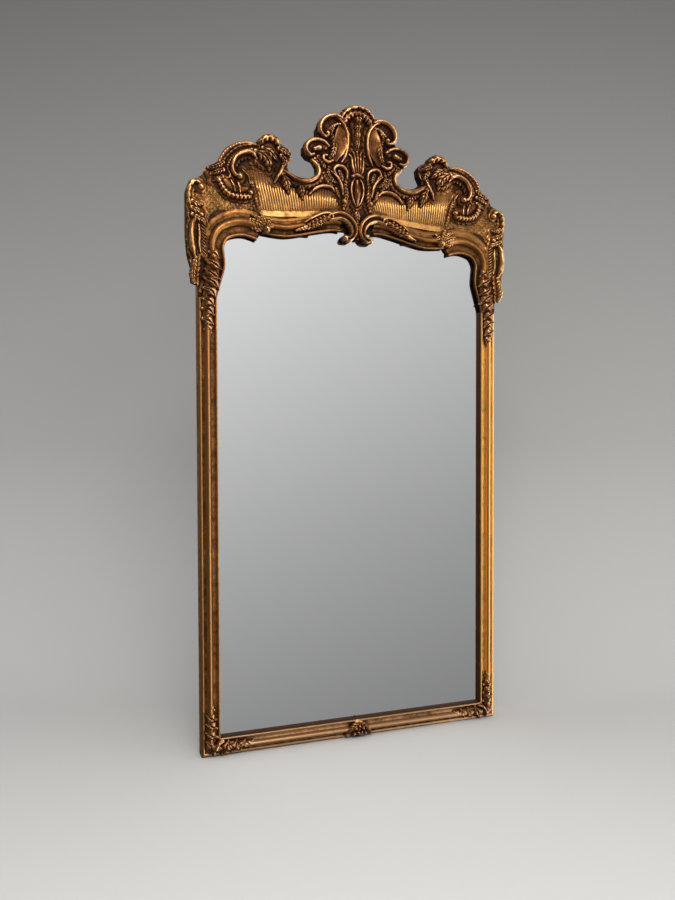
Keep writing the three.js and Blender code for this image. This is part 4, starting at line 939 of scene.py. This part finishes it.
carved("apron_drop", [
    stroke([[0, 224], [0, 210], [0, 190]], [6, 18, 8], [9, 15, 14], lobed(8)),
    stroke([[0, 196], [0, 176], [0, 156]], [6, 11, 5], [15, 20, 13], lobed(8)),
], sides=(1,), bed=5)

# ---------------------------------------------------------------- fluted and latticed grounds
# Behind the carving the ground is cut in fine upright flutes that fan a little, over a plain border
# with a raised edge, and in a diamond lattice with a raised point in each diamond out to the corners.
FLUTE_PITCH, FLUTE_WIDE, FLUTE_PROUD = 0.0057, 0.0052, 0.0021
LATTICE_PITCH, BAR_THICK, POINT_SIZE, LATTICE_PROUD = 0.0092, 0.0010, 0.0054, 0.0016
LATTICE_MIDDLE, GRID_CELLS, HALF_DIAGONAL = (0.318, 1.260), 40, 0.7071
# Dust with painted shade on the floor of a ribbed field, a painted highlight along its ribs, and a set tone
# on the plain border below the flutes.
FLOOR_DUST_AND_SHADE, RIB_PAINTED_HIGHLIGHT, BORDER_TONE, BORDER = 0.9, 1.40, 0.45, 6
FLUTE_FOOT = [[40, 226], [80, 218], [121, 212], [155, 209], [190, 206], [212, 205], [234, 207]]
FLUTE_TOP = [[28, 262], [76, 264], [116, 268], [158, 276], [196, 284], [224, 291], [254, 292]]
LATTICE = [[240, 208], [268, 202], [303, 198], [336, 193], [350, 176], [358, 160], [372, 176], [388, 200],
           [386, 222],
           [370, 238], [350, 250], [334, 262], [325, 246], [316, 236], [298, 224], [268, 224], [246, 228]]


def new_tree(name, inputs):
    """A Geometry Nodes tree with named inputs and one geometry output."""
    tree = bpy.data.node_groups.new(name, "GeometryNodeTree")
    tree.interface.new_socket("Geometry", in_out="OUTPUT", socket_type="NodeSocketGeometry")
    for socket, kind in [("Geometry", "Geometry")] + inputs:
        tree.interface.new_socket(socket, in_out="INPUT", socket_type=f"NodeSocket{kind}")
    return tree, tree.nodes.new("NodeGroupInput"), tree.nodes.new("NodeGroupOutput")


def flute_tree():
    """Half-round ribs at an even pitch along a foot line, each running to its own top."""
    tree, given, out = new_tree("flutes", [("Pitch", "Float"), ("Width", "Float"), ("Proud", "Float"),
                                           ("Finish", "Material")])
    new = tree.nodes.new
    line, here = new("GeometryNodeMeshToCurve"), new("GeometryNodeInputPosition")
    size = new("ShaderNodeCombineXYZ")
    spaced = node_in(tree, "GeometryNodeResampleCurve", mode="LENGTH")
    top = node_in(tree, "GeometryNodeInputNamedAttribute", {"Name": "top"}, data_type="FLOAT_VECTOR")
    reach, long = (node_in(tree, "ShaderNodeVectorMath", operation=kind) for kind in ("SUBTRACT", "LENGTH"))
    aim = node_in(tree, "FunctionNodeAlignRotationToVector", axis="Z")
    rib = node_in(tree, "GeometryNodeMeshCylinder", {"Vertices": 10, "Radius": 0.5, "Depth": 1.0})
    stand = node_in(tree, "GeometryNodeTransform", {"Translation": (0, 0, 0.5)})
    copies, real = new("GeometryNodeInstanceOnPoints"), new("GeometryNodeRealizeInstances")
    smooth, finish = new("GeometryNodeSetShadeSmooth"), new("GeometryNodeSetMaterial")
    twice = node_in(tree, "ShaderNodeMath", {1: 2.0}, operation="MULTIPLY")
    wired(tree,
          [(given, "Geometry", line, "Mesh"), (line, 0, spaced, "Curve"), (given, "Pitch", spaced, "Length"),
           (top, "Attribute", reach, 0), (here, 0, reach, 1), (reach, 0, long, 0), (reach, 0, aim, "Vector"),
           (given, "Width", size, "X"), (given, "Proud", twice, 0), (twice, 0, size, "Y"),
           (long, "Value", size, "Z"), (rib, "Mesh", stand, "Geometry"), (spaced, 0, copies, "Points"),
           (stand, 0, copies, "Instance"), (aim, 0, copies, "Rotation"), (size, 0, copies, "Scale"),
           (copies, 0, real, "Geometry"), (real, 0, smooth, "Geometry"), (smooth, 0, finish, "Geometry"),
           (given, "Finish", finish, "Material"), (finish, 0, out, 0)])
    return tree


def lattice_tree():
    """A diamond lattice of thin bars with a raised point in each diamond, kept inside an outline."""
    tree, given, out = new_tree("lattice", [("Pitch", "Float"), ("Bar", "Float"), ("Point", "Float"),
                                            ("Middle", "Vector"), ("Finish", "Material")])
    new = tree.nodes.new
    span = node_in(tree, "ShaderNodeMath", {1: GRID_CELLS}, operation="MULTIPLY")
    wired(tree, [(given, "Pitch", span, 0)])

    def kept_grid(shift):
        grid = node_in(tree, "GeometryNodeMeshGrid",
                       {"Vertices X": GRID_CELLS + 1, "Vertices Y": GRID_CELLS + 1})
        place = node_in(tree, "GeometryNodeTransform", {"Rotation": (math.pi / 2, math.pi / 4, 0)})
        hit = node_in(tree, "GeometryNodeRaycast", {"Ray Direction": (0, 1, 0)})
        moved = node_in(tree, "ShaderNodeVectorMath", {1: (shift, 0, 0)}, operation="MULTIPLY_ADD")
        back = node_in(tree, "ShaderNodeVectorMath", {1: (0, -0.01, 0)}, operation="ADD")
        missed = node_in(tree, "FunctionNodeBooleanMath", operation="NOT")
        away, pitches, here = (new(kind) for kind in ("GeometryNodeDeleteGeometry", "ShaderNodeCombineXYZ",
                                                      "GeometryNodeInputPosition"))
        wired(tree, [(span, 0, grid, "Size X"), (span, 0, grid, "Size Y"), (grid, "Mesh", place, "Geometry"),
                     (given, "Pitch", pitches, "X"), (pitches, 0, moved, 0), (given, "Middle", moved, 2),
                     (moved, 0, place, "Translation"), (given, "Geometry", hit, "Target Geometry"),
                     (here, 0, back, 0), (back, 0, hit, "Source Position"), (hit, "Is Hit", missed, 0),
                     (place, 0, away, "Geometry"), (missed, 0, away, "Selection")])
        return away

    wire = node_in(tree, "GeometryNodeCurvePrimitiveCircle", {"Resolution": 6})
    point = node_in(tree, "GeometryNodeMeshUVSphere", {"Segments": 4, "Rings": 2})
    flat = node_in(tree, "GeometryNodeTransform", {"Scale": (1, 0.62, 1)})
    bars, tube = new("GeometryNodeMeshToCurve"), new("GeometryNodeCurveToMesh")
    copies = new("GeometryNodeInstanceOnPoints")
    joined, real = new("GeometryNodeJoinGeometry"), new("GeometryNodeRealizeInstances")
    smooth, finish = new("GeometryNodeSetShadeSmooth"), new("GeometryNodeSetMaterial")
    wired(tree, [(kept_grid(0.0), 0, bars, "Mesh"), (bars, 0, tube, "Curve"), (given, "Bar", wire, "Radius"),
                 (wire, 0, tube, "Profile Curve"), (given, "Point", point, "Radius"),
                 (point, "Mesh", flat, "Geometry"),
                 (kept_grid(HALF_DIAGONAL), 0, copies, "Points"), (flat, 0, copies, "Instance"),
                 (tube, 0, smooth, "Geometry"), (smooth, 0, joined, 0), (copies, 0, joined, 0),
                 (joined, 0, real, "Geometry"), (real, 0, finish, "Geometry"),
                 (given, "Finish", finish, "Material"),
                 (finish, 0, out, 0)])
    return tree


def grown(name, guide, tree, values):
    """Runs a tree over a guide mesh and returns its result as a plain, finished piece."""
    maker = bpy.data.objects.new(name, guide)
    bpy.context.scene.collection.objects.link(maker)
    growth = maker.modifiers.new("growth", "NODES")
    growth.node_group = tree
    for socket in tree.interface.items_tree:
        if socket.in_out == "INPUT" and socket.name in values:
            growth[socket.identifier] = values[socket.name]
    seen = maker.evaluated_get(bpy.context.evaluated_depsgraph_get())
    mesh = bpy.data.meshes.new_from_object(seen)
    maker.modifiers.clear()
    maker.data = mesh
    return maker


FLUTES, LATTICE_WORK = flute_tree(), lattice_tree()
GROUND_Y = (BACK_Y - CREST_FACE) * MM
PANEL_THICK = 0.8  # mm
# Painted light: the fluted and latticed grounds have a paler, brighter leaf than the rest, as if lit.
LIT_FIELD_GILT = gilt_material("lit_fluted_gilt", (0.72, 0.37, 0.115), (1.0, 0.66, 0.27), (0.060, 0.024, 0.007),
                           -0.16)


def depth_toned(piece, floor, proud, foot=None):
    """Marks how dark each place of a ribbed field is painted: dust and painted shade most on its floor, a
    painted highlight along its ribs.
    """
    mesh = piece.data
    places = np.empty(3 * len(mesh.vertices), np.float32)
    mesh.vertices.foreach_get("co", places)
    x, y, z = places.reshape(-1, 3).T
    tone = FLOOR_DUST_AND_SHADE - RIB_PAINTED_HIGHLIGHT * np.clip((floor - y) / proud, 0, 1) ** 0.6
    if foot is not None:
        tone[z / MM - STILE_TOP < np.interp(np.abs(x) / MM, foot[:, 0], foot[:, 1]) - BORDER] = BORDER_TONE
    share = mesh.attributes.new("hollow", "FLOAT", "POINT")
    share.data.foreach_set("value", tone)


def flute_guide(side):
    foot, _ = smooth_line(FLUTE_FOOT, 60)
    top, _ = smooth_line(FLUTE_TOP, 60)
    places = [np.stack([side * line[:, 0] * MM, np.full(len(line), GROUND_Y),
                        (line[:, 1] + STILE_TOP) * MM], 1)
              for line in (foot, top)]
    guide = bpy.data.meshes.new("flute_guide")
    guide.from_pydata(places[0].tolist(), [(k, k + 1) for k in range(59)], [])
    reach = guide.attributes.new("top", "FLOAT_VECTOR", "POINT")
    reach.data.foreach_set("vector", places[1].ravel())
    return guide


def panel_on(piece, side, outline):
    """Adds the thin gilded panel that the flutes or the lattice are cut in."""
    mesh = bmesh.new()
    mesh.from_mesh(piece.data)
    rings = [[mesh.verts.new((side * x * MM, (BACK_Y - depth) * MM, (z + STILE_TOP) * MM))
              for x, z in outline]
             for depth in (CREST_FACE + JOIN / 2, CREST_FACE + PANEL_THICK)]
    around = list(range(len(outline)))
    shell = [mesh.faces.new(rings[0]), mesh.faces.new(rings[1])]
    shell += [mesh.faces.new([rings[0][k - 1], rings[0][k], rings[1][k], rings[1][k - 1]]) for k in around]
    bmesh.ops.recalc_face_normals(mesh, faces=shell)
    bmesh.ops.triangulate(mesh, faces=shell[:2])
    mesh.to_mesh(piece.data)
    mesh.free()
    piece.data.materials.clear()
    piece.data.materials.append(LIT_FIELD_GILT)
    piece.data.polygons.foreach_set("material_index", [0] * len(piece.data.polygons))


def outline_guide(side, outline):
    guide = bpy.data.meshes.new("lattice_guide")
    places = [(side * x * MM, GROUND_Y, (z + STILE_TOP) * MM) for x, z in outline]
    guide.from_pydata(places, [], [tuple(range(len(places)))])
    return guide


for side, name in ((-1, "left"), (1, "right")):
    flutes = grown(f"{name}_flutes", flute_guide(side), FLUTES,
                   {"Pitch": FLUTE_PITCH, "Width": FLUTE_WIDE, "Proud": FLUTE_PROUD, "Finish": LIT_FIELD_GILT})
    foot, top = smooth_line(FLUTE_FOOT, 30)[0], smooth_line(FLUTE_TOP, 30)[0]
    panel_on(flutes, side, np.concatenate([foot - [0, 13], top[::-1]]).tolist())
    depth_toned(flutes, GROUND_Y - PANEL_THICK * MM, FLUTE_PROUD - PANEL_THICK * MM, foot)
    fixed(flutes, "gilt_ground", f"{name}_fluted_field")
    lattice = grown(f"{name}_lattice", outline_guide(side, LATTICE), LATTICE_WORK,
                    {"Pitch": LATTICE_PITCH, "Bar": BAR_THICK, "Point": POINT_SIZE, "Finish": LIT_FIELD_GILT,
                     "Middle": (side * LATTICE_MIDDLE[0], GROUND_Y, LATTICE_MIDDLE[1])})
    panel_on(lattice, side, LATTICE)
    depth_toned(lattice, GROUND_Y - PANEL_THICK * MM, LATTICE_PROUD)
    fixed(lattice, "gilt_ground", f"{name}_lattice_field")

# ---------------------------------------------------------------- leaves on the moulding
# Ribbed acanthus wraps the head of each stile, leaves cover the two lower mitres, and a small shell
# with pearls sits in the middle of the bottom rail. Each is carved apart and glued over the moulding.
OVER = SIDE + 3


def lapped(points, widths, heights, count, seed, slant=0.5):
    """Overlapping leaf lobes down a line, each a short curved stroke that crosses it at a slant."""
    line, length = smooth_line(points, 12 * count)
    way = np.gradient(line, axis=0)
    way /= np.hypot(*way.T)[:, None]
    dice = np.random.default_rng(seed)
    thick = 1.3 * length / count
    lobes = [stroke(points, [w * 0.88 for w in widths], [h * 0.62 for h in heights])]
    for k in range(count):
        share = np.array([(k + 0.5) / count])
        at, along = line[int(share[0] * (len(line) - 1))], way[int(share[0] * (len(line) - 1))]
        aside = np.array([along[1], -along[0]])
        half = eased(widths, share)[0] / 2 * dice.uniform(0.82, 1.08)
        tall = eased(heights, share)[0] * dice.uniform(0.95, 1.15)
        start, end = at - aside * half - along * half * slant, at + aside * half + along * half * slant
        middle = at + along * thick * dice.uniform(-0.1, 0.25)
        lobes.append(stroke([start.tolist(), middle.tolist(), end.tolist()],
                            [thick * 0.2, thick, thick * 0.25],
                            [0.66 * tall, tall, 0.6 * tall], lobed(19, slant=0.4, cut=0.25)))
    return lobes


# The leaves on the moulding are a browner, redder gold than the moulding.
WRAP_GILT = gilt_material("wrap_gilt", (0.26, 0.105, 0.035), (0.80, 0.44, 0.19), (0.024, 0.008, 0.002), 0.04)
carved("stile_wrap",
       lapped([[354, -84], [354, -42], [352, -6], [345, 34], [341, 68], [339, 104]], [14, 26, 31, 34, 34, 18],
              [13, 18, 20, 21, 21, 15], 9, 3), seat=OVER, material=WRAP_GILT)
MITRE = HALF_WIDTH - FACE * 0.52
carved("corner_leaf",
       lapped([[HALF_WIDTH - 122, 21], [HALF_WIDTH - 90, 21], [HALF_WIDTH - 60, 21], [MITRE, 20]],
              [10, 24, 28, 26],
              [11, 14, 16, 15], 5, 5)
       + lapped([[MITRE, 120], [MITRE, 90], [MITRE, 58], [MITRE, 22]], [10, 22, 27, 26],
                [11, 14, 16, 15], 5, 8)
       + [stroke([[HALF_WIDTH - 48, 36], [HALF_WIDTH - 38, 33], [HALF_WIDTH - 30, 22], [HALF_WIDTH - 22, 13]],
                 [5, 8, 9, 5],
                 [15, 19, 19, 12])], seat=OVER, base=0, material=WRAP_GILT)
carved("bottom_shell", [
    *[stroke([[3 * k, 38 - abs(k)], [9 * k, 24], [15 * k, 9]], [8, 14, 9], [15, 21, 15], lobed(6))
      for k in (-2, -1, 0, 1, 2)],
    stroke([[-16, 14], [0, 12], [16, 14]], [16, 20, 16], [14, 17, 14]),
    *[knob(x, z, 3.2, 22) for x, z in ((-9, 24), (0, 29), (9, 24), (-14, 13), (-4, 15), (5, 15), (14, 13))],
], seat=OVER, base=0, sides=(1,), material=WRAP_GILT)

# ---------------------------------------------------------------- mirror plate
# Flat plate glass with its silvering on the back, a little grey with age and faintly clouded. It lies in
# the rebate behind the moulding.


def silvered_material():
    material, tree, surface = fresh("silvered_glass")
    surface.inputs["Metallic"].default_value = 1.0
    place = tree.nodes.new("ShaderNodeTexCoord")
    cloud = node_in(tree, "ShaderNodeTexNoise", {"Scale": 14, "Detail": 6})
    haze = ranged(tree, 0.35, 0.75, 0.012, 0.035)
    tint = ramp(tree, [(0, (0.93, 0.94, 0.94)), (1, (0.965, 0.965, 0.965))])
    wired(tree,
          [(place, "Object", cloud, "Vector"), (cloud, "Fac", haze, "Value"), (cloud, "Fac", tint, "Fac"),
           (tint, "Color", surface, "Base Color"), (haze, "Result", surface, "Roughness")])
    return material


def kept(node, material):
    """A piece that stays as it was cut, in its own finish."""
    NODES[node].data.materials.clear()
    NODES[node].data.materials.append(material)


kept("mirror_plate", silvered_material())

# ---------------------------------------------------------------- crest boards
# Three sawn pine boards behind the carving, gessoed and gilded in front and left brown with dust and
# size; the carving is planted on them.
for board in ("left_shoulder_board", "right_shoulder_board", "crest_center_board"):
    kept(board, GROUND)

# ---------------------------------------------------------------- bare pine behind
# The top rail, the battens, the strips that hold the glass and the two backboards are plain planed pine,
# browned by age, with dust in patches.
for name in ("top_rail", "lower_backboard", "upper_backboard"):
    kept(name, RAIL_PINE)
for name in ("left_crest_batten", "right_crest_batten", "left_glazing_strip", "right_glazing_strip"):
    kept(name, STRIP_PINE)

# ---------------------------------------------------------------- screws
# Slotted steel wood screws with domed heads, turned and a little rusted: four through the backboards
# and one in each strap hanger.
HEAD_WIDE, HEAD_DOME, SHANK = 4.0, 1.8, 1.6
SLOT_WIDE, SLOT_DEEP, SCREW_SIDES = 0.55, 0.9, 48


def worn_metal(name, clean, stained, metal, rough):
    """Dull metal, stained in patches and paler where it is handled."""
    material, tree, surface = fresh(name)
    surface.inputs["Metallic"].default_value = metal
    place = tree.nodes.new("ShaderNodeTexCoord")
    patch = node_in(tree, "ShaderNodeTexNoise", {"Scale": 210, "Detail": 5})
    grain = node_in(tree, "ShaderNodeTexNoise", {"Scale": 1400})
    skin, dull = ramp(tree, [(0.38, clean), (0.68, stained)]), ranged(tree, 0, 1, rough, rough + 0.28)
    tooth = node_in(tree, "ShaderNodeBump", {"Strength": 0.25, "Distance": 0.0002})
    wired(tree, [(place, "Object", patch, "Vector"), (place, "Object", grain, "Vector"),
                 (patch, "Fac", skin, "Fac"),
                 (patch, "Fac", dull, "Value"), (skin, "Color", surface, "Base Color"),
                 (dull, "Result", surface, "Roughness"), (grain, "Fac", tooth, "Height"),
                 (tooth, "Normal", surface, "Normal")])
    return material


SCREW_STEEL = worn_metal("screw_steel", (0.40, 0.38, 0.35), (0.16, 0.10, 0.065), 0.9, 0.32)
HANGER_BRASS = worn_metal("hanger_brass", (0.55, 0.40, 0.17), (0.27, 0.17, 0.07), 0.95, 0.30)


def screw_of(node, turned):
    """A screw along Y in the place of its CAD node; the slot lies at the angle `turned`."""
    low, high = (np.array(corner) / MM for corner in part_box(node))
    middle, back = (low + high) / 2, high[1]
    around = np.linspace(0, 2 * math.pi, SCREW_SIDES, endpoint=False)
    rings = []
    for radius in np.linspace(0.12, 1, 15) * HEAD_WIDE:
        x, z = radius * np.cos(around), radius * np.sin(around)
        dome = HEAD_DOME * (1 - (radius / HEAD_WIDE) ** 2.4)
        across_slot = x * math.sin(turned) - z * math.cos(turned)
        slot = SLOT_DEEP * (np.abs(across_slot) < SLOT_WIDE) * (dome > 0.5)
        rings.append(np.stack([middle[0] + x, back - HEAD_DOME + np.maximum(dome - slot, 0.15),
                               middle[2] + z], 1))
    tip = low[1]
    for radius, y in ((HEAD_WIDE, back - HEAD_DOME), (SHANK, back - HEAD_DOME), (SHANK, tip + 0.6),
                      (SHANK * 0.5, tip)):
        rings.append(np.stack([middle[0] + radius * np.cos(around), np.full(SCREW_SIDES, y),
                               middle[2] + radius * np.sin(around)], 1))
    verts, faces = bar_of(rings)
    piece = outward(piece_of(f"{node}_turned", verts, faces, SCREW_STEEL, smooth_angle=35))
    fixed(piece, "screw_steel", node)


for side, name in ((-1, "left"), (1, "right")):
    for k, kind in enumerate(("backboard_screw_1", "backboard_screw_2", "hanger_screw")):
        screw_of(f"{name}_{kind}", 0.7 * side + 1.3 * k)

# ---------------------------------------------------------------- hangers
# Two stamped brass strap hangers: a strip rolled over at the top into an eye, which a bent wire ring
# swings in. Dull, with a brown skin.
RING_WIRE, RING_CORNER, WIRE_SIDES = 1.5, 3.0, 16


def ring_of(side, node):
    """A wire ring: straight through the eye, round at the bottom."""
    low, high = (np.array(corner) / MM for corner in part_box(node))
    half, top, foot = (high[0] - low[0]) / 2 - RING_WIRE, high[2] - RING_WIRE, low[2] + RING_WIRE
    middle, depth = (low[0] + high[0]) / 2, (low[1] + high[1]) / 2
    corner = RING_CORNER
    turn = np.linspace(0, math.pi / 2, 14)
    line = [[x, top] for x in np.linspace(-half + corner, half - corner, 9)]
    line += [[half - corner + corner * math.sin(a), top - corner + corner * math.cos(a)] for a in turn]
    line += [[half * math.cos(a), foot + half - half * math.sin(a)] for a in np.linspace(0, math.pi, 30)]
    line += [[-half + corner - corner * math.cos(a), top - corner + corner * math.sin(a)] for a in turn]
    line = np.array([p for k, p in enumerate(line) if k == 0 or math.dist(p, line[k - 1]) > 0.05])
    line = line[:-1] if math.dist(line[0], line[-1]) < 0.05 else line
    way = np.roll(line, -1, 0) - np.roll(line, 1, 0)
    way /= np.hypot(*way.T)[:, None]
    wire = np.linspace(0, 2 * math.pi, WIRE_SIDES, endpoint=False)
    rings = [np.stack([middle + p[0] - w[1] * RING_WIRE * np.cos(wire), depth + RING_WIRE * np.sin(wire),
                       p[1] + w[0] * RING_WIRE * np.cos(wire)], 1) for p, w in zip(line, way)]
    verts, faces = bar_of(rings + rings[:1], closed_ends=False)
    count = len(rings) * WIRE_SIDES
    faces = [[v % count for v in face] for face in faces]
    piece = outward(piece_of(f"{node}_wire", verts[:count], faces, HANGER_BRASS, smooth_angle=60))
    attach(piece, "left_ring" if side < 0 else "right_ring")
    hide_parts(node)


for side, name in ((-1, "left"), (1, "right")):
    kept(f"{name}_hanger_strap", HANGER_BRASS)
    ring_of(side, f"{name}_hanger_ring")
